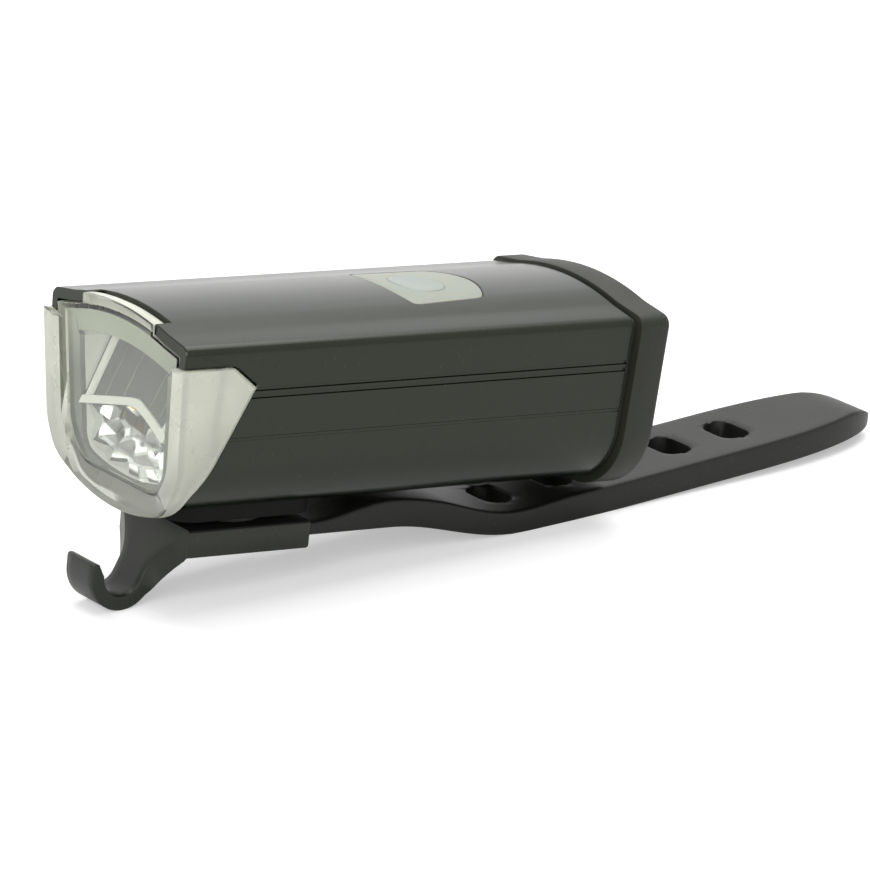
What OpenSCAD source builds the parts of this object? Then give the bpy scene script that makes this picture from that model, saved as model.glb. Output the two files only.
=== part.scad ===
// Bike headlight on a rubber handlebar strap.
// Millimetres. +Z is up, X runs across, and the beam shines towards -Y.
// The origin is the middle of the bracket's flat underside, which sits on the handlebar.

/* [Housing] */
// Width across the shoulders
body_w = 32; // [30:0.5:38]
// Height from the flat bottom to the shoulders
body_h = 24; // [23:0.5:30]
// Length of the extruded tube
body_len = 70.4; // [64:0.2:90]
// Wall of the tube
body_wall = 1.5; // [1.2:0.1:1.8]
// Lean of the sides from upright, in degrees
side_lean = 4; // [1:0.5:6]
// Radius of the two lower corners
low_r = 9; // [7:0.5:10]
// Radius of the two shoulder corners
shoulder_r = 1.3; // [0.8:0.1:2.4]
// Width of the arched crown
crown_w = 22; // [20:0.2:23]
// Fall of the shoulders from the crown's edges to the corners
shoulder_fall = 0.6; // [0.3:0.1:1]
// Rise of the crown's arch above its edges
crown_rise = 1.4; // [1:0.1:2.2]
// Width of a side groove
groove_w = 0.5; // [0.3:0.1:0.8]
// Depth of a side groove
groove_d = 0.35; // [0.2:0.05:0.6]
// Drop from the shoulders to the first side groove
groove_drop = 6.1; // [4:0.1:8]
// Spacing of the pair of side grooves
groove_pitch = 1; // [0.9:0.1:2]
// Reach of the housing in front of the seat's middle
front_reach = 18; // [16:0.2:20]

/* [Lens] */
// How far the top of the front face stands in front of the housing
lens_nose = 0.6; // [0.4:0.1:2]
// Lean of the front face, with its top forward, in degrees
lens_lean = 5.5; // [2:0.5:7]
// Wall of the lens
lens_wall = 1.8; // [1.4:0.1:2.2]
// Depth of the plug inside the tube
plug_len = 6.4; // [5.6:0.2:8]
// How far the side wings stand proud of the housing
wing_proud = 0.8; // [0.4:0.1:1.2]
// Drop from the shoulders to the top of the wings
wing_drop = 3; // [2.6:0.1:4.5]
// Length of a wing along its top edge
wing_top_len = 7.6; // [6:0.2:9]
// Length of a wing to its rear point
wing_len = 11.2; // [9.6:0.2:14]
// Drop of the slanted corner between the two
wing_corner = 2.7; // [1.5:0.1:4]
// Depth of the skirt along the bottom
skirt_len = 4.4; // [3.4:0.2:5.4]
// How far the skirt stands proud of the housing's bottom
skirt_proud = 0.3; // [0.2:0.1:0.6]
// Drop of the arched keel under the skirt
keel_drop = 1.3; // [0.6:0.1:1.8]
// Half of that keel's width
keel_half = 8.9; // [8:0.1:9.6]
// Height of a wing's lower end above the housing's bottom
wing_low = 3.4; // [2:0.2:6]
// Width of the ridge along each side of the front face
ridge_w = 2.7; // [1.5:0.1:3.4]
// How far the ridges stand in front of the front face
ridge_proud = 0.7; // [0.3:0.1:1.2]
// Width of the lip that fills a notch in the crown
lip_w = 16.2; // [12:0.2:18]
// Length of that notch
lip_len = 2; // [1.4:0.1:3]
// How far the lip lies below the crown
lip_sunk = 0.2; // [0.1:0.05:0.4]
// Gap behind the lip
lip_gap = 0.3; // [0.15:0.05:0.5]

/* [Light unit] */
// Gap from the lens plate to the lower edge of the reflector's rim
rim_gap = 0.4; // [0.3:0.1:1]
// Depth of the reflector
reflector_len = 14; // [12:0.5:18]
// Wall of the reflector's rim and back
reflector_wall = 1; // [0.8:0.1:1.4]
// Radius of the half bowl's mouth
bowl_r = 7.4; // [6:0.1:8]
// Depth of the half bowl
bowl_len = 9; // [7:0.2:11]
// Thickness of the visor at its lip
visor_t = 1.6; // [1.2:0.1:2.4]
// Width of the light-emitter board
led_board_w = 11; // [8:0.5:14]
// Thickness of the light-emitter board
led_board_t = 1; // [0.8:0.1:1.2]
// Side of the square light emitter
emitter_w = 3.2; // [2:0.1:4]
// Height of the light emitter
emitter_t = 0.7; // [0.5:0.1:1.2]
// Thickness of the heat sink's plate
sink_t = 3; // [2:0.2:5]

/* [Battery and board] */
// Diameter of the battery cell
cell_d = 14; // [12:0.5:15]
// Floor and walls of the inner sled
sled_wall = 1.4; // [1:0.1:1.8]
// Thickness of the sled's end plates
sled_end = 2; // [1.5:0.1:3]
// Thickness of the contact tabs at the cell's ends
tab_t = 0.4; // [0.3:0.1:0.6]
// Width of the contact tabs
tab_w = 6; // [4:0.5:8]
// Thickness of the main board
board_t = 1.2; // [0.8:0.1:1.6]
// Height of the switch body
switch_h = 2.4; // [2:0.1:3]
// Side of the switch body
switch_w = 6; // [5:0.1:7]
// Radius of the switch plunger
plunger_r = 1.6; // [1.2:0.1:2]
// Side of an indicator light
chip_w = 1.6; // [1:0.1:2]
// Height of an indicator light
chip_h = 0.8; // [0.5:0.1:1.2]

/* [Button] */
// Width of the translucent surround
pad_w = 15.6; // [14.4:0.1:18]
// Width of the surround's rear end
pad_tail_w = 13.4; // [12.6:0.1:16]
// Length of the translucent surround
pad_len = 14.6; // [13.6:0.2:18]
// Bow of the surround's front end
pad_front_bow = 0.7; // [0.3:0.1:1.2]
// Bow of the surround's rear end
pad_bow = 2.4; // [1:0.1:2.6]
// Distance from the housing's front to the surround's middle
pad_at = 47.2; // [42:0.2:48]
// Width of the key
key_w = 7.8; // [6.8:0.2:9]
// Length of the key
key_len = 6.8; // [6.4:0.2:7.8]
// How far the key sits in front of the surround's middle
key_ahead = 1.2; // [0:0.1:1.4]
// Corner radius of the key
key_r = 3; // [1.5:0.1:3.2]
// Travel of the key
key_travel = 0.6; // [0.3:0.1:0.8]
// Width of the hidden flange round the surround and the key
flange_w = 0.8; // [0.6:0.1:1.2]
// Thickness of the hidden flanges
flange_t = 0.8; // [0.6:0.1:1]

/* [Rear cap] */
// Length of the cap behind the seam
cap_len = 5; // [4.4:0.2:8]
// How far the cap's sides stand proud of the housing
cap_proud = 1.1; // [0.6:0.1:1.4]
// How far the cap's top stands proud of the housing
cap_top_proud = 0.4; // [0.3:0.1:0.9]
// Width of the dark seam in front of the cap
seam_gap = 0.6; // [0.4:0.1:1]
// Length of the spigot inside the tube
spigot_len = 4; // [3:0.2:6]
// Thickness of the cap's rear plate
cap_plate = 2; // [1.6:0.1:2.6]
// Size of the slant round the cap's rear edge
cap_chamfer = 0.8; // [0.5:0.1:1.6]
// Width of the charging socket
socket_w = 9; // [8:0.1:10]
// Height of the charging socket
socket_h = 3.2; // [2.8:0.1:3.8]
// Length of the charging socket
socket_len = 7.4; // [6.5:0.1:9]
// Width of the rubber flap over the socket
flap_w = 14; // [12.6:0.2:16]
// Height of the rubber flap
flap_h = 8; // [7.4:0.2:9]
// Thickness of the rubber flap
flap_t = 1.2; // [0.8:0.1:1.6]
// Depth of the flap's plug in the socket hole
flap_plug = 1; // [0.6:0.1:1.4]
// Radius of a cap screw
screw_r = 1; // [0.8:0.1:1.25]
// Radius of a cap screw's head
screw_head_r = 1.9; // [1.7:0.1:2.2]
// Height of a cap screw's head
screw_head_h = 1.2; // [1:0.1:1.4]
// Distance of the cap screws from the middle
screw_x = 9; // [7:0.2:9.4]

/* [Bracket] */
// Width of the bracket's block
block_w = 16; // [14:0.5:20]
// Height of the bracket's block
block_h = 3.8; // [3.4:0.1:6]
// Length of the flat seat on the handlebar
seat_len = 18.8; // [17:0.2:22]
// Width of the hook
hook_w = 6.4; // [5:0.2:7.4]
// Outer radius of the hook's bend
hook_r = 4.7; // [4.2:0.1:6]
// Thickness of the hook
hook_t = 1.9; // [1.5:0.1:2.2]
// Depth of the bend's centre below the seat
hook_drop = 3.1; // [2.4:0.1:4]
// Length of the hook's straight tip
hook_tip = 1.8; // [1:0.1:3]
// Thickness at the end of that tip
hook_tip_t = 1.1; // [0.8:0.1:1.4]
// Slope of the hook stem's underside, in degrees
stem_slope = 69; // [64:1:72]
// Slope of the hook stem's top, in degrees
stem_top_slope = 66; // [62:1:68]
// Length over which the hook's stem widens to the block
flare_len = 2.6; // [1.6:0.1:3.4]
// Power of the flare's curve
flare_power = 1.5; // [1:0.1:2.4]
// Thickness of the foot under the housing
foot_t = 2.1; // [1.8:0.1:3]
// Width of the foot
foot_w = 14; // [12:0.5:15]
// Length of the foot
foot_len = 22; // [20:0.5:24]
// Radius of the swivel washer
washer_r = 6; // [5:0.2:7]
// Thickness of the swivel washer
washer_t = 0.6; // [0.4:0.1:1]
// Radius of the pivot screw
pivot_r = 1.5; // [1.25:0.05:1.6]
// Radius of the pivot screw's head
pivot_head_r = 2.5; // [2.3:0.1:2.8]
// Height of the pivot screw's head
pivot_head_h = 1.4; // [1:0.1:1.6]
// Grip of the pivot screw in the block
pivot_grip = 2.8; // [2.2:0.1:3]
// Distance of the foot screws from the swivel axis
foot_screw_at = 8; // [7:0.2:8.6]
// Radius of a foot screw's head
foot_head_r = 1.9; // [1.6:0.1:2]

/* [Strap] */
// Width of the strap
strap_w = 15.6; // [13:0.2:19]
// Length of the strap behind the block
strap_len = 98.4; // [90:0.1:120]
// Full thickness of the strap
strap_t = 3.9; // [3.3:0.1:4.3]
// Thickness at the neck
neck_t = 1.8; // [1.5:0.1:2.2]
// Thickness in the dip
dip_t = 3.2; // [2.6:0.1:3.3]
// Height of the neck's underside above the seat
neck_z = 1.65; // [1.3:0.05:1.75]
// Height of the dip's underside, below the seat when minus
dip_z = -0.85; // [-2:0.05:0]
// Length over which the dip thins and thickens
dip_span = 12; // [9:0.5:16]
// Distance from the block to the end of the arch
arch_at = 13; // [10:0.5:16]
// Distance from the block to the lowest point of the dip
dip_at = 32.5; // [28:0.5:36]
// Rise of the tail, in degrees
tail_rise = 9.1; // [4:0.1:10]
// Length over which the dip turns into the tail
tail_turn = 6; // [4:0.5:12]
// Length of the rounded tip
tip_len = 26; // [16:0.5:28]
// Thickness at the tip's end
tip_t = 1; // [0.8:0.1:2.6]
// Length of the sloped nose at the tip's end
nose_len = 8; // [5:0.5:12]
// Distance from the block to the first hole
hole_at = 34.5; // [32:0.1:38]
// Spacing of the holes
hole_pitch = 9.9; // [9:0.1:11]
// Width of a hole across the strap
hole_w = 7.4; // [6.8:0.1:9]
// Length of a hole along the strap
hole_len = 4.4; // [4.2:0.1:5]
// Distance from the block to the first bend
bend_at = 2.8; // [2:0.1:4]
// Gap between neighbouring lengths of the strap
bend_gap = 0.3; // [0.2:0.05:0.4]
// Width of the tongue held in the block
tongue_w = 11; // [8:0.2:12]
// Length of the tongue
tongue_len = 5.4; // [4.6:0.1:6]
// Thickness of the tongue
tongue_t = 1.6; // [1.2:0.1:1.8]
// Radius of the pin through the tongue
pin_r = 1; // [0.8:0.05:1.2]

/* [Clearances] */
// Gap of a sliding fit between two pieces
fit = 0.15; // [0.1:0.01:0.2]
// Gap between a turning shaft and its hole
running = 0.05; // [0.03:0.01:0.08]
// Gap between a fixed pin or screw and its hole
snug = 0.02; // [0.01:0.01:0.04]
// Gap under the turning foot
glide = 0.1; // [0.05:0.01:0.2]
// Space beside the pivot screw's turning head
head_room = 0.4; // [0.3:0.05:0.6]

/* [Hidden] */
$fn = 48;

// Reach of cutting shapes, longer than any piece
far = 200;
// Overshoot of a cut through a face
over = 1;

// Heights of the housing
body_z = block_h + washer_t + glide + foot_t;
shoulder_z = body_z + body_h;
crown_edge_z = shoulder_z + shoulder_fall;
crown_z = crown_edge_z + crown_rise;
crown_half = crown_w / 2;
crown_r = (crown_half * crown_half + crown_rise * crown_rise) / (2 * crown_rise);
least_r = 0.2;

// Places along the housing
body_y0 = -front_reach;
body_y1 = body_y0 + body_len;
nose_y = body_y0 - lens_nose;
lip_y1 = body_y0 + lip_len;
wing_z = shoulder_z - wing_drop;

// Insets of the nested pieces from the housing's outline
plug_in = body_wall + fit;
cavity_in = plug_in + lens_wall;
rim_in = cavity_in + fit;
sled_in = body_wall + fit;

// Light unit, back from the lens
rim_z = body_z + rim_in;
rim_y = nose_y + lens_wall / cos(lens_lean) + (crown_z - rim_z) * tan(lens_lean) + rim_gap;
reflector_y1 = rim_y + reflector_len;
bowl_z = rim_z + reflector_wall + bowl_r;
visor_z = bowl_z + led_board_t;
board_front_y = rim_y + visor_t;
sink_y = reflector_y1 + snug;
sink_y1 = sink_y + sink_t;

// Bracket
seat_half = seat_len / 2;
pivot_y = 0;
foot_z = block_h + washer_t + glide;
floor_top = body_z + body_wall;
hook_z = -hook_drop;
hook_y = -seat_half - (hook_r + hook_drop * cos(stem_slope)) / sin(stem_slope);
hook_in_r = hook_r - hook_t;
stem_foot_y = hook_y + hook_in_r * sin(stem_top_slope);
stem_foot_z = hook_z - hook_in_r * cos(stem_top_slope);
block_front_y = stem_foot_y + (block_h - stem_foot_z) / tan(stem_top_slope);
block_back_y = seat_half;
tongue_z = (block_h - tongue_t) / 2;
pin_y = block_back_y - tongue_len / 2;
pin_floor = tongue_z / 2;

// Sled, cell and board
sled_y0 = max(sink_y1 + fit, pivot_y + pivot_head_r + head_room);
sled_y1 = body_y1 - spigot_len - fit;
sled_z = body_z + body_wall + fit;
cell_r = cell_d / 2;
cell_z = sled_z + sled_wall + snug + cell_r;
board_z = cell_z + cell_r + fit;
board_top = board_z + board_t;
cell_y0 = sled_y0 + sled_end + tab_t + snug;
cell_y1 = sled_y1 - sled_end - tab_t - snug;

// Button over the switch
pad_y = body_y0 + pad_at;
key_y = pad_y - key_ahead;
switch_top = board_top + switch_h;
pad_floor_in = body_wall + fit + flange_t;
key_floor_in = pad_floor_in + fit;
plunger_top = switch_top + key_travel + fit;
plunger_z = switch_top - key_travel - fit;

// Rear cap and charging socket
cap_y0 = body_y1 + seam_gap;
cap_y1 = cap_y0 + cap_len;
cap_inner_y = cap_y1 - cap_plate;
socket_y1 = cap_inner_y - fit;
socket_z = board_top + socket_h / 2;
board_y0 = sled_y0;
board_y1 = socket_y1 - socket_len / 2;
port_w = socket_w + 2 * fit;
port_h = socket_h + 2 * fit;
flap_pivot_z = socket_z - flap_h / 2;
screw_z = cell_z - cell_r / 2;
boss_wall = 0.8;
boss_r = screw_head_r + boss_wall;
screw_tip_y = sled_y1 - sled_end + snug;

// Strap bends: two before the holes, then one between each pair of holes
strap_y = block_back_y + fit;
third_bend = hole_at - hole_pitch / 2;
bends = [
    bend_at, (bend_at + third_bend) / 2, third_bend, third_bend + hole_pitch,
    third_bend + 2 * hole_pitch, third_bend + 3 * hole_pitch
];
hole_count = 5;
arc_steps = 10;
strap_step = 1.1;
tip_steps = 16;
tip_power = 2.6;

// Shapes drawn from points

function arc(cx, cy, r, a0, a1, n = arc_steps) =
    [for (i = [0 : n]) let (a = a0 + (a1 - a0) * i / n) [cx + r * cos(a), cy + r * sin(a)]];

function flipped(pts) = [for (i = [len(pts) - 1 : -1 : 0]) [-pts[i][0], pts[i][1]]];

function round_rect(w, h, r, n = 6) = concat(
    arc(w / 2 - r, h / 2 - r, r, 0, 90, n), arc(r - w / 2, h / 2 - r, r, 90, 180, n),
    arc(r - w / 2, r - h / 2, r, 180, 270, n), arc(w / 2 - r, r - h / 2, r, 270, 360, n));

// Half width of the housing's outline, drawn in by d, at height z on its leaning side
function side_x(z, d) = body_w / 2 - tan(side_lean) * (shoulder_z - z) - d / cos(side_lean);

// Height of the crown's arch, drawn in by d, at x
function crown_at(x, d) = crown_z - crown_r + sqrt((crown_r - d) * (crown_r - d) - x * x);

// Right half of the housing's outline, drawn in by d at the sides and e on top, or out where minus
function half_section(d, e) =
    let (r_low = max(low_r - d, least_r), z_low = body_z + d + r_low,
         r_top = max(shoulder_r - e, least_r), z_top = shoulder_z - e - r_top,
         x_low = side_x(z_low, d) - r_low / cos(side_lean),
         x_top = side_x(z_top, d) - r_top / cos(side_lean))
    concat(
        arc(x_low, z_low, r_low, -90, -side_lean, 14),
        arc(x_top, z_top, r_top, -side_lean, 90, 6),
        [for (i = [0 : arc_steps]) let (x = crown_half * (1 - i / arc_steps)) [x, crown_at(x, e)]]);

function mirrored(half) = concat(half, [for (p = flipped(half)) if (p[0] < 0) p]);

function section(d) = mirrored(half_section(d, d));

function cap_section(d) = mirrored(half_section(d - cap_proud, d - cap_top_proud));

// Underside of the strap at distance s behind the block
function ease(u) = (1 - cos(180 * max(0, min(1, u)))) / 2;
function strap_low(s) = s < dip_at
    ? neck_z + (dip_z - neck_z) * ease((s - arch_at) / (dip_at - arch_at))
    : dip_z + tan(tail_rise) * (sqrt((s - dip_at) * (s - dip_at) + tail_turn * tail_turn) - tail_turn);

// Thickness of the strap at distance s: thin at the neck, in the dip and at the tip
function strap_thick(s) = strap_t
    - (strap_t - neck_t) * (1 - ease(s / arch_at))
    - (strap_t - dip_t) * (1 - ease(abs(s - dip_at) / dip_span))
    - (strap_t - tip_t) * pow(max(0, (s - strap_len + nose_len) / nose_len), 2);

function strap_side(s0, s1) =
    let (n = ceil((s1 - s0) / strap_step), at = [for (i = [0 : n]) s0 + (s1 - s0) * i / n])
    concat([for (s = at) [strap_y + s, strap_low(s)]],
           [for (i = [n : -1 : 0]) [strap_y + at[i], strap_low(at[i]) + strap_thick(at[i])]]);

// Half of the strap's plan: straight sides and a rounded tip
function strap_edge() = [for (i = [0 : tip_steps]) let (u = i / tip_steps)
    [strap_w / 2 * sqrt(1 - pow(u, tip_power)), strap_y + strap_len - tip_len * (1 - u)]];

// Prisms along each axis

module prism_x(pts, x0, x1) {
    translate([x0, 0, 0])
        rotate([90, 0, 90])
            linear_extrude(height = x1 - x0)
                polygon(pts);
}

module prism_y(pts, y0, y1) {
    translate([0, y1, 0])
        rotate([90, 0, 0])
            linear_extrude(height = y1 - y0)
                polygon(pts);
}

module prism_z(pts, z0, z1) {
    translate([0, 0, z0])
        linear_extrude(height = z1 - z0)
            polygon(pts);
}

module box(x0, x1, y0, y1, z0, z1) {
    translate([x0, y0, z0])
        cube([x1 - x0, y1 - y0, z1 - z0]);
}

module rod_y(r, x, z, y0, y1) {
    translate([x, y1, z])
        rotate([90, 0, 0])
            cylinder(r = r, h = y1 - y0);
}

module rod_z(r, x, y, z0, z1) {
    translate([x, y, z0])
        cylinder(r = r, h = z1 - z0);
}

module both_sides() {
    children();
    mirror([1, 0, 0])
        children();
}

// A tube wall between two outlines of the housing's section
module wall_y(d0, d1, y0, y1) {
    difference() {
        prism_y(section(d0), y0, y1);
        prism_y(section(d1), y0 - over, y1 + over);
    }
}

// Places children in the plane of the leaning front face, with +Y into the lamp
module at_front_face() {
    translate([0, nose_y, crown_z])
        rotate([lens_lean, 0, 0])
            children();
}

// Side view of the wings and skirt, grown by g
function wing_side(g) =
    let (top = wing_z + g, y0 = body_y0 + g)
    [[nose_y - far, top], [y0 + wing_top_len, top], [y0 + wing_len, top - wing_corner],
     [y0 + skirt_len, body_z + wing_low], [y0 + skirt_len, -far], [nose_y - far, -far]];

// One bowed end of the surround, grown by g: half width w, bow b, reaching out by way (-1 front, 1 rear)
function pad_end(w, b, way, g) = [for (i = [0 : arc_steps]) let (u = 2 * i / arc_steps - 1)
    [-way * u * (w + g), pad_y + way * (pad_len / 2 + g - b * u * u)]];

// Plan of the surround at the crown, grown by g
module pad_plan(g) {
    prism_z(concat(pad_end(pad_w / 2, pad_front_bow, -1, g), pad_end(pad_tail_w / 2, pad_bow, 1, g)),
            board_top, crown_z + over);
}

// Plan of the key at the crown, grown by g
module key_plan(g) {
    translate([0, key_y, 0])
        prism_z(round_rect(key_w + 2 * g, key_len + 2 * g, key_r + g), board_top, crown_z + over);
}

// The crown between depths d0 and d1 below its surface, over the button's length
module crown_layer(d0, d1) {
    wall_y(d0, d1, pad_y - pad_len, pad_y + pad_len);
}

// Housing

module side_grooves() {
    for (i = [0 : 1]) {
        z = shoulder_z - groove_drop - i * groove_pitch;
        translate([side_x(z, 0), 0, z])
            rotate([0, side_lean, 0])
                box(-groove_d, over, body_y0 - over, body_y1 + over, -groove_w / 2, groove_w / 2);
    }
}

module housing() {
    color("#2b2c29")
        difference() {
            wall_y(0, body_wall, body_y0, body_y1);
            prism_x(wing_side(fit), -body_w, body_w);
            box(-lip_w / 2 - fit, lip_w / 2 + fit, body_y0 - over, lip_y1 + lip_gap, wing_z, crown_z + over);
            both_sides() side_grooves();
            pad_plan(0);
            rod_z(pivot_r + running, 0, pivot_y, body_z - over, floor_top + over);
            for (s = [-1, 1])
                rod_z(screw_r + snug, 0, pivot_y + s * foot_screw_at, body_z - over, floor_top + over);
        }
}

// Lens

// Front view of the keel: an arch that hangs from the skirt
function keel_section() =
    let (r = (keel_half * keel_half + keel_drop * keel_drop) / (2 * keel_drop), a = asin(keel_half / r),
         z = body_z - skirt_proud)
    concat([[keel_half, z + skirt_proud], [-keel_half, z + skirt_proud]],
           arc(0, z - keel_drop + r, r, -90 - a, -90 + a, arc_steps));

module lens_blank() {
    intersection() {
        prism_y(keel_section(), nose_y - over, body_y0 + skirt_len);
        prism_x(wing_side(0), -body_w, body_w);
    }
    prism_y(section(plug_in), nose_y - over, body_y0 + plug_len);
    intersection() {
        prism_y(section(lip_sunk), nose_y - over, lip_y1);
        box(-lip_w / 2, lip_w / 2, nose_y - over, lip_y1, wing_z, crown_z + over);
    }
    intersection() {
        prism_y(section(-wing_proud), nose_y - over, body_y0 + wing_len);
        prism_x(wing_side(0), -body_w, body_w);
        box(-far, far, -far, far, body_z - skirt_proud, far);
    }
}

// Everything in front of the front face, between its two ridges and above them
module front_cut() {
    inner = body_w / 2 + wing_proud - ridge_w;
    at_front_face() {
        box(-far, far, -far, -ridge_proud, -far, far);
        box(-inner, inner, -far, 0, -far, far);
        box(-far, far, -far, 0, wing_z - crown_z, far);
    }
}

module front_lens() {
    color("#dfe4dc", 0.45)
        difference() {
            lens_blank();
            front_cut();
            intersection() {
                prism_y(section(cavity_in), nose_y, body_y0 + plug_len + over);
                at_front_face() box(-far, far, lens_wall, far, -far, far);
            }
            prism_y(section(plug_in), body_y0 + plug_len, body_y0 + wing_len + over);
        }
}

module lens_gasket() {
    color("#202020")
        wall_y(plug_in, cavity_in, body_y0 + plug_len, body_y0 + plug_len + seam_gap);
}

// Light unit

module bowl_cut() {
    intersection() {
        translate([0, rim_y - snug, bowl_z])
            rotate([-90, 0, 0])
                rotate_extrude()
                    polygon(concat([[0, 0]], [for (i = [0 : arc_steps]) let (u = i / arc_steps)
                        [bowl_r * sqrt(1 - u), bowl_len * u]]));
        box(-far, far, -far, far, -far, bowl_z);
    }
}

module visor_cut() {
    top = crown_z - rim_in - reflector_wall;
    half = side_x(visor_z, rim_in + reflector_wall);
    intersection() {
        prism_y(section(rim_in + reflector_wall), rim_y - over, reflector_y1);
        prism_x([[rim_y - over, visor_z + visor_t], [rim_y + visor_t, visor_z + visor_t],
                 [reflector_y1 - reflector_wall, top], [reflector_y1 - reflector_wall, top + far],
                 [rim_y - over, top + far]], -half, half);
    }
}

module reflector() {
    color("#d8dcdf")
        difference() {
            prism_y(section(rim_in), rim_y, reflector_y1);
            bowl_cut();
            visor_cut();
            box(-led_board_w / 2 - fit, led_board_w / 2 + fit, board_front_y - fit, reflector_y1 + over,
                bowl_z - snug, visor_z + snug);
        }
}

module led_board() {
    color("#e8e6dc")
        box(-led_board_w / 2, led_board_w / 2, board_front_y, sink_y, bowl_z, visor_z);
}

module led_emitter() {
    mid = rim_y + bowl_len / 3;
    color("#f0d860")
        box(-emitter_w / 2, emitter_w / 2, mid - emitter_w / 2, mid + emitter_w / 2, bowl_z - emitter_t, bowl_z);
}

module heat_sink() {
    color("#a8abad")
        intersection() {
            prism_y(section(sled_in), sink_y, sink_y1);
            box(-far, far, -far, far, rim_z, far);
        }
}

// Sled, battery and electronics

module below_board(y0, y1) {
    box(-far, far, y0, y1, -far, board_z - snug);
}

module inner_sled() {
    color("#3a3d40")
        difference() {
            intersection() {
                prism_y(section(sled_in), sled_y0, sled_y1);
                below_board(sled_y0, sled_y1);
            }
            intersection() {
                prism_y(section(sled_in + sled_wall), sled_y0 + sled_end, sled_y1 - sled_end);
                below_board(sled_y0, sled_y1);
            }
            both_sides() rod_y(screw_r + snug, screw_x, screw_z, sled_y1 - sled_end - over, sled_y1 + over);
        }
}

module battery_cell() {
    color("#4c7a9c")
        rod_y(cell_r, 0, cell_z, cell_y0, cell_y1);
}

module battery_tabs() {
    color("#c9c4b4")
        for (y = [sled_y0 + sled_end + snug / 2, sled_y1 - sled_end - tab_t - snug / 2])
            box(-tab_w / 2, tab_w / 2, y, y + tab_t, cell_z - cell_r / 2, board_z - snug);
}

module main_board() {
    half = side_x(board_z, sled_in) - fit;
    neck = side_x(board_z, cavity_in) - fit;
    color("#2f5d3a") {
        box(-half, half, board_y0, sled_y1, board_z, board_top);
        box(-neck, neck, board_y0, board_y1, board_z, board_top);
    }
}

module tact_switch() {
    color("#26282b")
        difference() {
            box(-switch_w / 2, switch_w / 2, key_y - switch_w / 2, key_y + switch_w / 2, board_top, switch_top);
            rod_z(plunger_r + running, 0, key_y, plunger_z - key_travel - fit, switch_top + over);
        }
}

module switch_plunger() {
    color("#d9d5c8")
        rod_z(plunger_r, 0, key_y, plunger_z, plunger_top);
}

module indicator_leds() {
    color("#f4f4ea")
        for (s = [-1, 1])
            box(s * switch_w - chip_w / 2, s * switch_w + chip_w / 2, key_y - chip_w / 2, key_y + chip_w / 2,
                board_top, board_top + chip_h);
}

module usb_socket() {
    wall = 0.4;
    color("#c4c7c9")
        translate([0, 0, socket_z])
            difference() {
                prism_y(round_rect(socket_w, socket_h, socket_h / 2 - snug), socket_y1 - socket_len, socket_y1);
                prism_y(round_rect(socket_w - 2 * wall, socket_h - 2 * wall, socket_h / 2 - wall - snug),
                        socket_y1 - socket_len + wall, socket_y1 + over);
            }
}

// Button

module button_frame() {
    color("#c3c8c0", 0.85)
        difference() {
            union() {
                intersection() {
                    crown_layer(0, pad_floor_in);
                    pad_plan(-fit);
                }
                intersection() {
                    crown_layer(body_wall + fit, pad_floor_in);
                    pad_plan(flange_w);
                }
            }
            key_plan(0);
        }
}

module button_key() {
    color("#b9c6c8", 0.9) {
        intersection() {
            crown_layer(0, key_floor_in + flange_t);
            key_plan(-fit);
        }
        intersection() {
            crown_layer(key_floor_in, key_floor_in + flange_t);
            key_plan(flange_w);
        }
        rod_z(plunger_r, 0, key_y, plunger_top, crown_z - key_floor_in);
    }
}

// Rear cap

module rear_cap() {
    color("#343533")
        difference() {
            union() {
                prism_y(cap_section(0), cap_y0, cap_y1 - cap_chamfer);
                prism_y(cap_section(cap_chamfer), cap_y0, cap_y1);
                prism_y(section(plug_in), body_y1 - spigot_len, cap_y0 + over);
            }
            difference() {
                prism_y(section(cavity_in), body_y1 - spigot_len - over, cap_inner_y);
                both_sides() rod_y(boss_r, screw_x, screw_z, body_y1 - spigot_len, cap_y1);
            }
            translate([0, 0, socket_z])
                prism_y(round_rect(port_w, port_h, port_h / 2 - snug), cap_inner_y - over, cap_y1 + over);
            both_sides() {
                rod_y(screw_r + snug, screw_x, screw_z, body_y1 - spigot_len - over, cap_y1 + over);
                rod_y(screw_head_r + snug, screw_x, screw_z, cap_y1 - screw_head_h, cap_y1 + over);
            }
        }
}

module rear_gasket() {
    color("#161616")
        wall_y(body_wall / 4, plug_in - snug, body_y1, cap_y0);
}

module rear_screws() {
    color("#8c8f91")
        both_sides() {
            rod_y(screw_r, screw_x, screw_z, screw_tip_y, cap_y1 - screw_head_h / 2);
            difference() {
                rod_y(screw_head_r, screw_x, screw_z, cap_y1 - screw_head_h + snug, cap_y1);
                translate([screw_x, cap_y1 + over, screw_z])
                    rotate([90, 0, 0])
                        cylinder(r = screw_r, h = screw_head_h / 2 + over, $fn = 6);
            }
        }
}

module usb_flap() {
    color("#1f1f1f")
        translate([0, 0, socket_z]) {
            prism_y(round_rect(flap_w, flap_h, flap_h / 4), cap_y1 + fit, cap_y1 + fit + flap_t);
            prism_y(round_rect(port_w - 4 * fit, port_h - 4 * fit, port_h / 2 - 3 * fit),
                    cap_y1 - flap_plug, cap_y1 + fit + flap_t / 2);
        }
}

// Foot, swivel and bracket

module mount_foot() {
    color("#2c2d2b")
        difference() {
            translate([0, pivot_y, 0])
                prism_z(round_rect(foot_w, foot_len, foot_w / 4), foot_z, body_z);
            rod_z(pivot_r + running, 0, pivot_y, foot_z - over, body_z + over);
            for (s = [-1, 1]) {
                rod_z(screw_r + snug, 0, pivot_y + s * foot_screw_at, foot_z - over, body_z + over);
                rod_z(foot_head_r + snug, 0, pivot_y + s * foot_screw_at, foot_z - over, foot_z + foot_t / 2);
            }
        }
}

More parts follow.
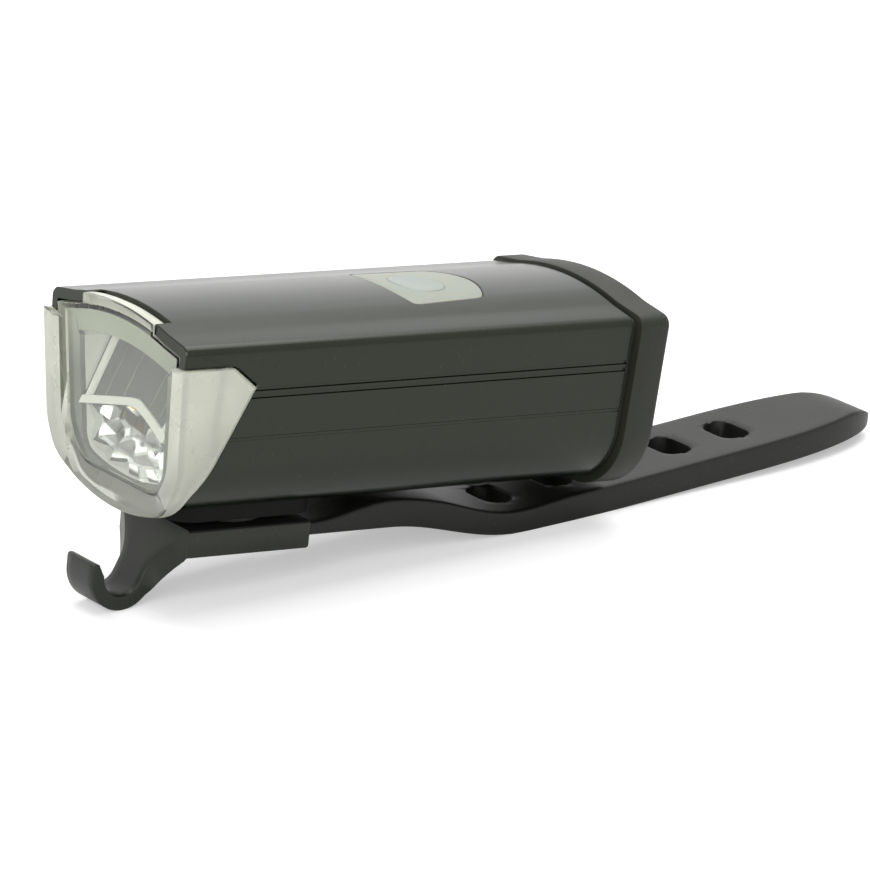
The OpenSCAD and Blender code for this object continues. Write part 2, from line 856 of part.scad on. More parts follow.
module foot_screws() {
    color("#8c8f91")
        for (s = [-1, 1]) {
            rod_z(screw_r, 0, pivot_y + s * foot_screw_at, foot_z + foot_t / 4, floor_top);
            rod_z(foot_head_r, 0, pivot_y + s * foot_screw_at, foot_z + snug, foot_z + foot_t / 2 - snug);
        }
}

module pivot_screw() {
    color("#9a9da0") {
        rod_z(pivot_r, 0, pivot_y, block_h - pivot_grip + snug, floor_top + glide + pivot_head_h / 2);
        rod_z(pivot_head_r, 0, pivot_y, floor_top + glide, floor_top + glide + pivot_head_h);
    }
}

module swivel_washer() {
    color("#d4d2c8")
        difference() {
            rod_z(washer_r, 0, pivot_y, block_h, block_h + washer_t);
            rod_z(pivot_r + snug, 0, pivot_y, block_h - over, block_h + washer_t + over);
        }
}

function bracket_side() = concat(
    [[hook_y - hook_r, hook_z + hook_tip]],
    arc(hook_y, hook_z, hook_r, 180, 270 + stem_slope, 2 * arc_steps),
    [[-seat_half, 0], [block_back_y, 0], [block_back_y, block_h], [block_front_y, block_h]],
    arc(hook_y, hook_z, hook_in_r, 270 + stem_top_slope, 180, 2 * arc_steps),
    [[hook_y - hook_r + hook_tip_t, hook_z + hook_tip]]);

function bracket_plan_half() =
    concat(
        [[hook_w / 2, hook_y - far]],
        [for (i = [0 : arc_steps]) let (t = i / arc_steps)
            [hook_w / 2 + (block_w - hook_w) / 2 * pow(t, flare_power),
             block_front_y - flare_len * (1 - t)]],
        [[block_w / 2, block_back_y + over]]);

module hook_bracket() {
    color("#2a2b29")
        difference() {
            intersection() {
                prism_x(bracket_side(), -block_w / 2, block_w / 2);
                prism_z(concat(bracket_plan_half(), flipped(bracket_plan_half())), -far / 2, far / 2);
            }
            rod_z(pivot_r + snug, 0, pivot_y, block_h - pivot_grip, block_h + over);
            box(-tongue_w / 2 - fit, tongue_w / 2 + fit, block_back_y - tongue_len - fit, block_back_y + over,
                tongue_z - fit, tongue_z + tongue_t + fit);
            rod_z(pin_r + snug, 0, pin_y, pin_floor, block_h + over);
        }
}

module strap_pin() {
    color("#8c8f91")
        rod_z(pin_r, 0, pin_y, pin_floor + snug, block_h);
}

// Strap

module strap_hole(s) {
    gap = (hole_w - hole_len) / 2;
    y = strap_y + s;
    for (x = [-gap, gap])
        rod_z(hole_len / 2, x, y, -far / 2, far / 2);
    box(-gap, gap, y - hole_len / 2, y + hole_len / 2, -far / 2, far / 2);
}

// One length of the strap between two distances from the block
module strap_length(s0, s1) {
    color("#2e2f2d")
        difference() {
            prism_x(strap_side(s0, s1), -strap_w / 2, strap_w / 2);
            for (i = [0 : hole_count - 1])
                if (hole_at + i * hole_pitch > s0 && hole_at + i * hole_pitch < s1)
                    strap_hole(hole_at + i * hole_pitch);
        }
}

// The length that starts at bend number i, counted from 1
module strap_link(i) {
    strap_length(bends[i - 1] + bend_gap / 2, bends[i] - bend_gap / 2);
}

module strap_root() {
    color("#2e2f2d")
        difference() {
            union() {
                strap_length(0, bends[0] - bend_gap / 2);
                box(-tongue_w / 2, tongue_w / 2, block_back_y - tongue_len, strap_y + bend_at / 2,
                    tongue_z, tongue_z + tongue_t);
            }
            rod_z(pin_r + snug, 0, pin_y, -over, block_h + over);
        }
}

module strap_tail() {
    half = strap_edge();
    neck = [[strap_w / 2, 0]];
    color("#2e2f2d")
        intersection() {
            strap_length(bends[5] + bend_gap / 2, strap_len);
            prism_z(concat(neck, half, flipped(concat(neck, half))), -far / 2, far / 2);
        }
}

housing();
front_lens();
lens_gasket();
reflector();
led_board();
led_emitter();
heat_sink();
inner_sled();
battery_cell();
battery_tabs();
main_board();
tact_switch();
switch_plunger();
indicator_leds();
usb_socket();
button_frame();
button_key();
rear_cap();
rear_gasket();
rear_screws();
usb_flap();
mount_foot();
foot_screws();
pivot_screw();
swivel_washer();
hook_bracket();
strap_pin();
strap_root();
strap_link(1);  // strap_link_1
strap_link(2);  // strap_link_2
strap_link(3);  // strap_link_3
strap_link(4);  // strap_link_4
strap_link(5);  // strap_link_5
strap_tail();
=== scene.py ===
# %% [markdown]
# # A bike headlight on a rubber strap
# The real lamp is a black aluminium tube with a clear winged lens in front, a frosted button on top and a
# plastic cap behind. It stands on a bracket with a hook and a long rubber strap with holes. The solids come
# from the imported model. This lesson covers them with smoother surfaces, each worked out with numpy as a
# function of two parameters, and gives every piece a procedural finish.

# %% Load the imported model
import bmesh
import bpy
import numpy as np
from mathutils import Matrix
from mathutils.geometry import delaunay_2d_cdt


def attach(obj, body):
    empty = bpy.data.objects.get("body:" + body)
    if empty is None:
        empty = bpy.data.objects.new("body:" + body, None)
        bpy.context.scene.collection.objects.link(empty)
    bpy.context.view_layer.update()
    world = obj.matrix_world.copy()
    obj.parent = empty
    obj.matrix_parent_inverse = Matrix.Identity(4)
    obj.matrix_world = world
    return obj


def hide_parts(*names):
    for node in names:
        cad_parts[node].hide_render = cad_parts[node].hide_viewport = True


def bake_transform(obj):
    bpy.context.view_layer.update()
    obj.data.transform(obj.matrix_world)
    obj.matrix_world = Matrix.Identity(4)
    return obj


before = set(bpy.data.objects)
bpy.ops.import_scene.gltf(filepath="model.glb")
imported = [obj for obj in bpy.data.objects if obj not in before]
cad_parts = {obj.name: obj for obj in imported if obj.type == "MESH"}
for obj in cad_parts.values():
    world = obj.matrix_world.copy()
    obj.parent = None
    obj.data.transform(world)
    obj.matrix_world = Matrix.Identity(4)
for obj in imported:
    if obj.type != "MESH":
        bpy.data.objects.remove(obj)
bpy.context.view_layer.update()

# %% [markdown]
# ## Lengths
# All shapes below are written in millimetres in the frame of the solids: +Z is up, the beam shines towards
# -Y, and the origin is the middle of the bracket's flat underside. Most places could be typed in, but the
# named lengths of the solids are repeated here, so each surface lies on its solid.

# %% Lengths of the lamp, in millimetres
MM = 0.001
BODY_W, LEAN, LOW_R, SHOULDER_R = 32.0, np.radians(4.0), 9.0, 1.3
BODY_Z, SHOULDER_Z, CROWN_Z = 6.6, 30.6, 32.6
CROWN_HALF, CROWN_RISE = 11.0, 1.4
CROWN_R = (CROWN_HALF**2 + CROWN_RISE**2) / (2 * CROWN_RISE)
BODY_Y0, BODY_Y1 = -18.0, 52.4
FIT = 0.15
LIP_HALF, LIP_Y, LIP_GAP, LIP_SUNK = 8.1, -16.0, 0.3, 0.2
WING_Z = 27.6
PAD_Y, KEY_Y = 29.2, 28.0
CAP_Y0, CAP_Y1 = 53.0, 58.0
STRAP_Y, STRAP_LEN = 9.55, 98.4
print("tube:", BODY_W, "mm wide and", BODY_Y1 - BODY_Y0, "mm long")

# %% [markdown]
# ## From arrays to meshes
# A grid of points becomes a mesh when neighbouring points are joined to quads. A shell has an outer and an
# inner grid, and the open edges of its cells are joined by rim quads, so a hole is only a matter of leaving
# cells out. This is quicker than cutting holes with booleans, and the edges stay clean.


# %% Grids and shells
def grid_quads(rows, cols, wrap):
    """Quads of a grid whose point (row i, column j) has the number i * cols + j."""
    i, j = np.meshgrid(np.arange(rows - 1), np.arange(cols if wrap else cols - 1), indexing="ij")
    k = (j + 1) % cols
    return np.stack([i * cols + j, i * cols + k, (i + 1) * cols + k, (i + 1) * cols + j], -1)


def shell(outer, inner, wrap=False, keep=None):
    """Points and quads of a wall: the kept cells of the outer grid, the same cells of the inner grid turned
    round, and a rim quad from outer to inner wherever a kept cell has no kept neighbour."""
    rows, cols = outer.shape[:2]
    total, quads = rows * cols, grid_quads(rows, cols, wrap)
    keep = np.ones(quads.shape[:2], bool) if keep is None else keep
    around = np.pad(keep, 1)
    if wrap:
        around[1:-1, 0], around[1:-1, -1] = keep[:, -1], keep[:, 0]
    faces = [quads[keep], quads[keep][:, ::-1] + total]
    for di, dj, p, q in ((-1, 0, 0, 1), (0, 1, 1, 2), (1, 0, 2, 3), (0, -1, 3, 0)):
        beside = around[1 + di:around.shape[0] - 1 + di, 1 + dj:around.shape[1] - 1 + dj]
        a, b = (quads[keep & ~beside][:, c] for c in (p, q))
        faces.append(np.stack([b, a, a + total, b + total], 1))
    points = np.concatenate([outer.reshape(-1, 3), inner.reshape(-1, 3)])
    return points, np.concatenate(faces).tolist()


def capped(rings):
    """Points and faces of a stack of closed rings, with a flat cap on the first and on the last."""
    count, cols = rings.shape[:2]
    faces = grid_quads(count, cols, True).reshape(-1, 4).tolist()
    return rings.reshape(-1, 3), faces + [list(range(cols)), list(range((count - 1) * cols, count * cols))]


print("quads of a grid of 3 by 4 points:", grid_quads(3, 4, False)[..., 0].size)

# %% [markdown]
# ## From mesh to piece
# A piece is a mesh object at the origin, hung from its body's empty, and the solids it stands for are
# hidden. Every grid could be written with care for its direction. Here the faces are turned outwards at the
# end, so each grid runs whichever way is easiest to follow.


# %% Piece builder
def make_piece(name, points, faces, finish, slot, body=None, replaces=(), sharp=32, zone=None,
               zone_finish=None):
    """A mesh object at the origin from points in millimetres: doubles merged, faces turned outwards, smooth
    except along edges sharper than the given angle. Faces whose zone is 1 take the second finish."""
    mesh = bpy.data.meshes.new(name)
    mesh.from_pydata((np.asarray(points) * MM).tolist(), [], faces)
    if zone is not None:
        mesh.polygons.foreach_set("material_index", np.asarray(zone, np.int32))
    work = bmesh.new()
    work.from_mesh(mesh)
    bmesh.ops.delete(work, geom=[v for v in work.verts if not v.link_faces], context="VERTS")
    bmesh.ops.remove_doubles(work, verts=work.verts, dist=2e-6)
    bmesh.ops.dissolve_degenerate(work, edges=work.edges, dist=1e-6)
    bmesh.ops.recalc_face_normals(work, faces=work.faces)
    work.to_mesh(mesh)
    work.free()
    mesh.polygons.foreach_set("use_smooth", np.ones(len(mesh.polygons), bool))
    mesh.set_sharp_from_angle(angle=np.radians(sharp))
    for each in (finish, zone_finish):
        if each:
            mesh.materials.append(each)
    piece = bpy.data.objects.new(name, mesh)
    bpy.context.scene.collection.objects.link(piece)
    if replaces:
        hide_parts(*replaces)
    if body:
        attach(piece, body)
    print(f"{name}: {len(mesh.vertices)} points, {len(mesh.polygons)} faces")
    return piece


# %% [markdown]
# ## Finishes
# Each finish is one Principled shader with noise on Object coordinates: a slow noise shades the colour and
# the gloss, a fine one gives the grain as bump, and a speckle adds the dust that a dark part shows in a
# photograph. One builder makes them all, so the pieces look as if they were shot together.

# %% Finish builder
SLOW_GRAIN, SPECK_GRAIN, BUMP_DEPTH = 70.0, 3200.0, 0.0002


def add_node(finish, kind, **inputs):
    """A shader node of that kind, with values set on its sockets."""
    node = finish.node_tree.nodes.new("ShaderNode" + kind)
    for socket, value in inputs.items():
        node.inputs[socket.replace("_", " ")].default_value = value
    return node


def noise_at(finish, place, grain, detail):
    """Noise on Object coordinates, with that many bumps a metre."""
    node = add_node(finish, "TexNoise", Scale=grain, Detail=detail)
    finish.node_tree.links.new(place.outputs["Object"], node.inputs["Vector"])
    return node.outputs["Fac"]


def dusted(finish, place, colour, share):
    """The colour with pale specks, mixed in by up to that share where a very fine noise peaks."""
    links = finish.node_tree.links
    spot = add_node(finish, "MapRange", From_Min=0.735, From_Max=0.80, To_Max=share)
    mix = add_node(finish, "Mix")
    mix.data_type = "RGBA"
    links.new(noise_at(finish, place, SPECK_GRAIN, 1.0), spot.inputs["Value"])
    links.new(spot.outputs["Result"], mix.inputs["Factor"])
    links.new(colour, mix.inputs[6])
    mix.inputs[7].default_value = (0.5, 0.5, 0.48, 1)
    return mix.outputs[2]


def painted_shade_below(finish, place, colour, low, high, share):
    """Painted shade: the colour times a factor that falls from 1 at the height high to share at low, in
    metres, so the part is darker towards its bottom.
    """
    links = finish.node_tree.links
    height, dim = add_node(finish, "SeparateXYZ"), add_node(finish, "VectorMath")
    span = add_node(finish, "MapRange", From_Min=low, From_Max=high, To_Min=share)
    dim.operation = "SCALE"
    links.new(place.outputs["Object"], height.inputs[0])
    links.new(height.outputs["Z"], span.inputs["Value"])
    links.new(colour, dim.inputs[0])
    links.new(span.outputs["Result"], dim.inputs["Scale"])
    return dim.outputs[0]


def make_finish(name, base, rough, grain=900.0, bump=0.15, mottle=0.12, dust=0.0, metal=0.0, painted_shade=None,
                **sockets):
    """Principled shader. The colour runs from base times 1 - mottle to base times 1 + mottle through a slow
    noise, the roughness from 0.85 to 1.15 times rough through the same noise, and a fine noise of that grain
    gives the bump. Dust and a painted shade, darker towards the bottom over (low, high, share), go over the
    colour."""
    finish = bpy.data.materials.new(name)
    finish.use_nodes = True
    links, shader = finish.node_tree.links, finish.node_tree.nodes["Principled BSDF"]
    place, ramp = add_node(finish, "TexCoord"), add_node(finish, "ValToRGB")
    slow = noise_at(finish, place, SLOW_GRAIN, 3.0)
    for stop, at, share in zip(ramp.color_ramp.elements, (0.3, 0.7), (1 - mottle, 1 + mottle)):
        stop.position = at
        stop.color = (*[min(c * share, 1) for c in base], 1)
    links.new(slow, ramp.inputs["Fac"])
    colour = ramp.outputs["Color"]
    if dust:
        colour = dusted(finish, place, colour, dust)
    # painted shade: the colour darkens towards the bottom
    if painted_shade:
        colour = painted_shade_below(finish, place, colour, *painted_shade)
    links.new(colour, shader.inputs["Base Color"])
    gloss = add_node(finish, "MapRange", To_Min=rough * 0.85, To_Max=min(rough * 1.15, 1))
    links.new(slow, gloss.inputs["Value"])
    links.new(gloss.outputs["Result"], shader.inputs["Roughness"])
    if bump:
        relief = add_node(finish, "Bump", Strength=bump, Distance=BUMP_DEPTH)
        links.new(noise_at(finish, place, grain, 2.0), relief.inputs["Height"])
        links.new(relief.outputs["Normal"], shader.inputs["Normal"])
    shader.inputs["Metallic"].default_value = metal
    for socket, value in sockets.items():
        shader.inputs[socket.replace("_", " ")].default_value = value
    return finish


# %% Finishes of the outside
anodised = make_finish("anodised_black", (0.0015, 0.0045, 0.0005), 0.22, grain=5200, bump=0.04, dust=0.08,
                       IOR=1.45, Specular_Tint=(0.95, 1.0, 0.86, 1))
moulded = make_finish("moulded_black", (0.012, 0.015, 0.008), 0.36, grain=3400, bump=0.10, dust=0.08,
                      IOR=1.43)
cap_black = make_finish("cap_black", (0.014, 0.016, 0.009), 0.52, grain=3400, bump=0.12, dust=0.06, IOR=1.40)
# A near black, darker than the moulded black: the mount foot's own black deepened into painted shade under
# the housing, and painted shade on the block's top.
black_with_painted_shade = make_finish("black_with_painted_shade", (0.003, 0.0032, 0.0025), 0.7, grain=3400, bump=0.1, IOR=1.3)
rubber = make_finish("strap_rubber", (0.008, 0.009, 0.006), 0.46, grain=2600, bump=0.16, dust=0.10, IOR=1.38)
clear = make_finish("clear_lens", (0.95, 0.97, 0.91), 0.03, bump=0.01, mottle=0.02, IOR=1.46,
                    Transmission_Weight=1.0)
# The frosted wings darken from 21 mm down to 0.58 at 8 mm: painted shade on their lower part.
lens_frost = make_finish("lens_frost", (0.90, 0.925, 0.79), 0.28, bump=0.0, mottle=0.12, IOR=1.46,
                         Transmission_Weight=0.45, painted_shade=(0.008, 0.021, 0.58))
silver = make_finish("silvered_bowl", (0.86, 0.87, 0.87), 0.14, bump=0.03, mottle=0.04, metal=1.0)
frosted = make_finish("frosted_button", (0.39, 0.42, 0.35), 0.42, bump=0.06, mottle=0.05, IOR=1.46,
                      Transmission_Weight=0.25, Subsurface_Weight=0.3, Subsurface_Scale=0.002)
key_frost = make_finish("frosted_key", (0.29, 0.325, 0.295), 0.38, bump=0.06, mottle=0.05,
                        Subsurface_Weight=0.3, Subsurface_Scale=0.002)
print("finishes:", len(bpy.data.materials))

# %% [markdown]
# ## The section of the tube
# The tube is extruded, so one outline gives the housing, the lens, the bezel and the cap. It has a flat
# bottom, two large lower corners, leaning sides, small shoulders and an arched crown. It could be drawn
# point by point. As a function of an inset it makes walls and lips too: the same columns of points, moved
# in or out.


# %% Outline of the tube
def side_x(z, d):
    """Half width of the leaning side at height z, drawn in by d."""
    return BODY_W / 2 - np.tan(LEAN) * (SHOULDER_Z - z) - d / np.cos(LEAN)


def crown_at(x, d=0.0):
    """Height of the crown's arch at x, drawn in by d: a circle's top less its sagitta."""
    return CROWN_Z - CROWN_R + np.sqrt((CROWN_R - d) ** 2 - np.square(x))


LOW_TURN = np.concatenate([np.linspace(-90, -38.5, 8), np.linspace(-38.5, -4, 7)[1:]])
CROWN_STEPS = np.linspace(1, 0, 9)[1:]


def low_part(d, bottom=BODY_Z, corner=LOW_R):
    """Right half of the bottom and the lower corner, drawn in by d: the flat from the middle, then an arc of
    the corner's radius less d."""
    r = max(corner - d, 0.2)
    z = bottom + d + r
    x = side_x(z, d) - r / np.cos(LEAN)
    turn = np.radians(LOW_TURN)
    flat = np.stack([np.linspace(0, x, 5)[:-1], np.full(4, bottom + d)], 1)
    return np.concatenate([flat, np.stack([x + r * np.cos(turn), z + r * np.sin(turn)], 1)])


def top_part(d, e, crown=CROWN_STEPS):
    """Right half of the corner, the shoulder and the crown, drawn in by d at the side and e on top. The
    shoulder falls from the crown's edge to the corner, and the crease between them is eased
    over half a millimetre."""
    r = max(SHOULDER_R - e, 0.2)
    z = SHOULDER_Z - e - r
    x = side_x(z, d) - r / np.cos(LEAN)
    turn = np.radians(np.linspace(-4, 84, 8))
    arc = np.stack([x + r * np.cos(turn), z + r * np.sin(turn)], 1)
    top = np.array([CROWN_HALF, crown_at(CROWN_HALF, e)])
    fall = arc[-1] + (top - arc[-1]) * np.array([[0.33], [0.67], [0.92]])
    arch = (CROWN_HALF - 0.3) * np.concatenate([[1], crown])
    return np.concatenate([arc, fall, np.stack([arch, crown_at(arch, e)], 1)])


def mirror(half):
    """A whole ring of columns from the right half: its middle columns once, the others mirrored in X."""
    other = half[:, -2:0:-1] * np.array([-1, 1, 1])
    return np.concatenate([half, other], 1)


def tube_half(d, e, side):
    """Right half of the whole outline; side holds the fractions of the way up the straight side."""
    low, top = low_part(d), top_part(d, e)
    z = low[-1, 1] + (top[0, 1] - low[-1, 1]) * side
    return np.concatenate([low, np.stack([side_x(z, d), z], 1), top])


print("outline:", len(tube_half(0, 0, np.linspace(0, 1, 8)[1:-1])), "points a side")

# %% [markdown]
# ## Housing
# A black anodised extrusion. Its front is cut back for the lens wings, its sides carry two fine grooves and
# a faint third, and the crown has an opening for the button. Booleans would do, but they leave long thin
# faces that shade badly. Here the grid's own lines bend along the cut and the button's outline, and the
# cells inside them are left out.

# %% Housing columns
GROOVES, GROOVE_DEPTHS = (24.5, 23.5, 17.9), (0.24, 0.24, 0.08)
SKIRT_Y, SKIRT_Z, WING_REAR, CORNER_Z, LEDGE_REAR = -13.6, 10.0, -6.8, 24.9, -10.4
WING_TOP, NOTCH_Y = WING_Z + FIT, LIP_Y + LIP_GAP
side_start, side_end = low_part(0)[-1, 1], top_part(0, 0)[0, 1]
groove_z = np.array([-0.26, -0.16, 0.16, 0.26])
side_z = np.concatenate([[16.4, 19.5, 21.5, 25.05, 26.4, WING_TOP]] + [g + groove_z for g in GROOVES])
side_in = np.concatenate([np.zeros(6)] + [np.array([0, 1, 1, 0]) * depth for depth in GROOVE_DEPTHS])
order = np.argsort(side_z)
side_z, side_in = side_z[order], side_in[order]
PAD_HALF, PAD_TAIL_HALF, PAD_REACH, PAD_ROUND = 7.8, 6.7, 7.3, 0.8
PAD_BOWS = {-1: 0.7, 1: 2.4}
corner = 1 - PAD_ROUND / PAD_HALF * (1 - np.sin(np.radians(np.linspace(0, 90, 7))))
pad_u = np.concatenate([corner[::-1], [0.66, 0.5, 0.33, 0.16, 0.0]])
print("columns up the side:", len(side_z), "and over half the button:", len(pad_u))


def pad_end(u, way):
    """Place along Y of the button opening's end over u = x / half width: a parabola, with a quarter circle at
    each corner. way is -1 in front and 1 behind."""
    start = 1 - PAD_ROUND / PAD_HALF
    v = np.clip((np.abs(u) - start) / (1 - start), 0, 1)
    bow = PAD_BOWS[way] * np.clip(np.abs(u), 0, 1) ** 2
    return PAD_Y + way * (PAD_REACH - bow - PAD_ROUND * (1 - np.sqrt(1 - v**2)))


def pad_half(y):
    """Half width at y of the strip that holds the lens lip's notch and the button's opening."""
    places = [NOTCH_Y, PAD_Y - PAD_REACH, PAD_Y + PAD_REACH]
    return np.interp(y, places, [LIP_HALF + FIT, PAD_HALF, PAD_TAIL_HALF])


def wing_back(z, grow=0.0):
    """Rear edge of the lens wing at height z: upright along the skirt, slanting back up the wing, then
    forward again at its top corner."""
    heights = np.array([0, SKIRT_Z, CORNER_Z + grow, WING_Z + grow])
    return np.interp(z, heights, np.array([SKIRT_Y, SKIRT_Y, WING_REAR, LEDGE_REAR]) + grow)


# %% Housing
TUBE_WALL, RIM_EASE, GUARD = 1.38, 0.14, 0.16
CUT_ROW, PAD_FRONT_ROW, PAD_REAR_ROW = 3, 9, 13


def housing_half(d):
    """Right half of the housing's points over (row along Y, column round the section), drawn in by d, with
    the mask of kept cells. Rows run front rim, wing and notch line, button front, button rear, rear rim."""
    low, top = low_part(d), top_part(d, d, crown=np.zeros(0))
    z = np.interp(side_z, [side_start, side_end], [low[-1, 1], top[0, 1]])
    side = np.stack([side_x(z, d) - side_in * (d < 1), z], 1)
    base = np.concatenate([low, side, top])
    near, guard = np.array([0.33, 0.67, 1.0]), np.array([0, 0, GUARD])
    first, pad_start = len(base), len(base) + len(near)
    cols = pad_start + len(pad_u)
    u = np.concatenate([np.full(pad_start, 1.0), pad_u])
    z_rest = np.concatenate([low_part(0)[:, 1], side_z, np.full(cols - len(low) - len(side), CROWN_Z)])
    cut = np.where(z_rest < WING_TOP + 0.01, wing_back(np.minimum(z_rest, WING_TOP), FIT), NOTCH_Y)
    front, rear = pad_end(u, -1), pad_end(u, 1)
    lines = [np.full(cols, BODY_Y0), np.full(cols, BODY_Y0 + RIM_EASE)]
    lines += [(BODY_Y0 + cut) / 2, cut, cut + RIM_EASE]
    lines += [cut + (front - cut) * t for t in (0.3, 0.6, 0.85)] + [front - GUARD, front]
    lines += [front + (rear - front) * t for t in (0.25, 0.5, 0.75)] + [rear, rear + GUARD]
    lines += [rear + (BODY_Y1 - rear) * t for t in (0.3, 0.65)]
    lines += [np.full(cols, BODY_Y1 - RIM_EASE), np.full(cols, BODY_Y1)]
    y = np.stack(lines)
    x = np.tile(np.concatenate([base[:, 0], np.zeros(cols - first)]), (len(y), 1))
    z = np.tile(np.concatenate([base[:, 1], np.zeros(cols - first)]), (len(y), 1))
    half, edge = pad_half(y), base[-1, 0]
    x[:, first:pad_start] = edge + (half[:, first:pad_start] - edge) * near + guard
    x[:, pad_start:] = pad_u * half[:, pad_start:]
    z[:, first:] = crown_at(x[:, first:], d)
    keep = np.ones((len(y) - 1, cols - 1), bool)
    keep[:CUT_ROW, :len(low) + len(side) - 1] = False
    keep[:CUT_ROW, pad_start:] = False
    keep[PAD_FRONT_ROW:PAD_REAR_ROW, pad_start:] = False
    return np.stack([x, y, z], -1), keep


outer, keep = housing_half(0.0)
inner, _ = housing_half(TUBE_WALL)
eased, _ = housing_half(RIM_EASE)
side_count, pad_start = len(low_part(0)) + len(side_z), outer.shape[1] - len(pad_u)
rim = np.zeros(outer.shape[:2])
rim[[0, -1]] = 1
rim[CUT_ROW, :side_count] = 1
rim[[CUT_ROW, PAD_FRONT_ROW, PAD_REAR_ROW], pad_start:] = 1
rim[:CUT_ROW + 1, pad_start] = 1
rim[PAD_FRONT_ROW:PAD_REAR_ROW + 1, pad_start] = 1
outer += (eased - outer) * rim[..., None] * np.array([1, 0, 1])
points, faces = shell(mirror(outer), mirror(inner), True, np.concatenate([keep, keep[:, ::-1]], 1))
make_piece("tube_housing", points, faces, anodised, "housing_black", "lamp", ["housing"])

# %% [markdown]
# ## Front lens
# The lens is one clear moulding: a leaning front plate between two upright ridges, wings that wrap round
# the sides, an arched bottom and a lip on the crown, with a plug that slides into the tube. It could be cut
# from blocks. Here each column round the outline runs through the same twelve stations: out over the plate
# and the ridge, back along the wing, in to the plug and forward again inside, so the wall is closed
# everywhere.

# %% Lens outline
NOSE_Y, LENS_LEAN, LENS_WALL, PLUG_Y = -18.6, np.tan(np.radians(5.5)), 1.81, -11.6
WING_PROUD, PLUG_IN, CAVE_IN = 0.8, 1.65, 2.3
RIDGE_W, RIDGE_PROUD = 2.7, 0.7
KEEL_DROP, KEEL_HALF = 1.3, 8.9
KEEL_R = (KEEL_HALF**2 + KEEL_DROP**2) / (2 * KEEL_DROP)
LENS_SIDE_POINTS, LIP_BREAK = 9, 0.15


def keel_at(x):
    """Drop of the lens's arched bottom at x: a circle's sagitta."""
    return np.maximum(np.sqrt(KEEL_R**2 - np.minimum(x, KEEL_HALF) ** 2) - KEEL_R + KEEL_DROP, 0)


def lens_ring(d, top_d, lip_d, ledge, lift, keel=1.0):
    """Right half of one station's outline: the tube's low part, with that share of the keel, and side up to
    the ledge, the plug's shoulder drawn in by top_d, and the lip on the crown drawn in by lip_d."""
    low = low_part(d)
    low[:, 1] = np.maximum(low[:, 1], BODY_Z - 0.3 + max(d + WING_PROUD, 0)) - keel * keel_at(low[:, 0])
    corner = ledge - (WING_Z - CORNER_Z)
    z = np.concatenate([np.linspace(low[-1, 1], corner, 7)[1:], np.linspace(corner, ledge, 4)[1:]])
    side = np.stack([side_x(z, d), z], 1)
    shoulder = top_part(top_d, top_d, np.zeros(0))
    z = np.linspace(ledge + lift, shoulder[0, 1], 3)[:-1]
    edge = LIP_HALF - 0.3 * (lip_d - LIP_SUNK)
    foot = np.array([edge + 1.2, edge + 0.1, edge])
    foot = np.stack([foot, crown_at(foot, top_d)], 1)
    inner = edge - LIP_BREAK
    lip = np.array([[edge, crown_at(edge, lip_d) - LIP_BREAK], [inner, crown_at(inner, lip_d)]])
    arch = inner * CROWN_STEPS
    return np.concatenate([low, side, np.stack([side_x(z, top_d), z], 1), shoulder, foot, lip,
                           np.stack([arch, crown_at(arch, lip_d)], 1)])


def front_face(z):
    """Place along Y of the front plate: a plane that leans back downwards."""
    return NOSE_Y + (CROWN_Z - z) * LENS_LEAN


def at_y(ring, y):
    """Points of an outline at the places y along Y."""
    return np.stack([ring[:, 0], np.broadcast_to(y, len(ring)), ring[:, 1]], 1)


# %% Lens
low_count = len(low_part(0))
side_count = low_count + LENS_SIDE_POINTS
ridge = np.zeros(len(lens_ring(0, PLUG_IN, LIP_SUNK, WING_Z, 0.1)))
ridge[low_count - 7:side_count] = RIDGE_PROUD
ridge[low_count - 10:low_count - 7] = RIDGE_PROUD * np.array([0.1, 0.4, 0.8])


def inset_ring(t, forward, back=0.0):
    """The lens's front outline drawn in by t at the sides and half of that on top: on the front plate, or
    forward on the ridges of its sides."""
    ring = lens_ring(t - WING_PROUD, PLUG_IN + t / 2, LIP_SUNK + t / 2, WING_Z - 0.05 - 0.2 * t, 0.02)
    return at_y(ring, front_face(ring[:, 1]) - forward * ridge + back)


edge = lens_ring(-WING_PROUD, PLUG_IN, LIP_SUNK, WING_Z, 0.0)
plug = lens_ring(PLUG_IN, PLUG_IN, PLUG_IN, WING_Z - 0.3, 0.25, 0.0)
cave = lens_ring(CAVE_IN, CAVE_IN, CAVE_IN, WING_Z - 0.9, 0.25, 0.0)
back = np.where(np.arange(len(edge)) < side_count + 1, wing_back(np.minimum(edge[:, 1], WING_Z)), LIP_Y)
plate, plug_end = front_face(edge[:, 1]), np.maximum(back, PLUG_Y)
stations = [inset_ring(RIDGE_W + 0.9, 0), inset_ring(RIDGE_W, 0), inset_ring(RIDGE_W - 0.3, 1)]
stations += [inset_ring(0.28, 1), inset_ring(0.08, 1, 0.08), at_y(edge, plate - ridge + 0.28)]
stations += [at_y(edge, back - 0.9), at_y(edge + (plug - edge) * 0.22, back - 0.1), at_y(plug, back)]
stations += [at_y(plug, plug_end), at_y(cave, plug_end), at_y(cave, front_face(cave[:, 1]) + LENS_WALL)]
rows = mirror(np.stack(stations))
# The wings, the ridges and the plug are frosted, and the two faces of the plate stay clear
zone = np.tile(np.arange(len(rows) - 1)[:, None] > 4, rows.shape[1])
zone[2:5] = mirror(np.tile(ridge[None, :, None], 3))[0, :, 1] > 0.3
zone = np.append(zone, [False, False])
make_piece("winged_lens", *capped(rows), clear, "clear_lens", "lamp", ["front_lens"], 32, zone, lens_frost)

# %% [markdown]
# ## Bezel and reflector box
# Behind the lens lies a grey bezel, and through its opening one looks into a white box. Both could be cut
# from blocks. Here they are rings of the tube's outline, drawn in and joined to closed tubes, so the
# opening keeps the tube's shape.

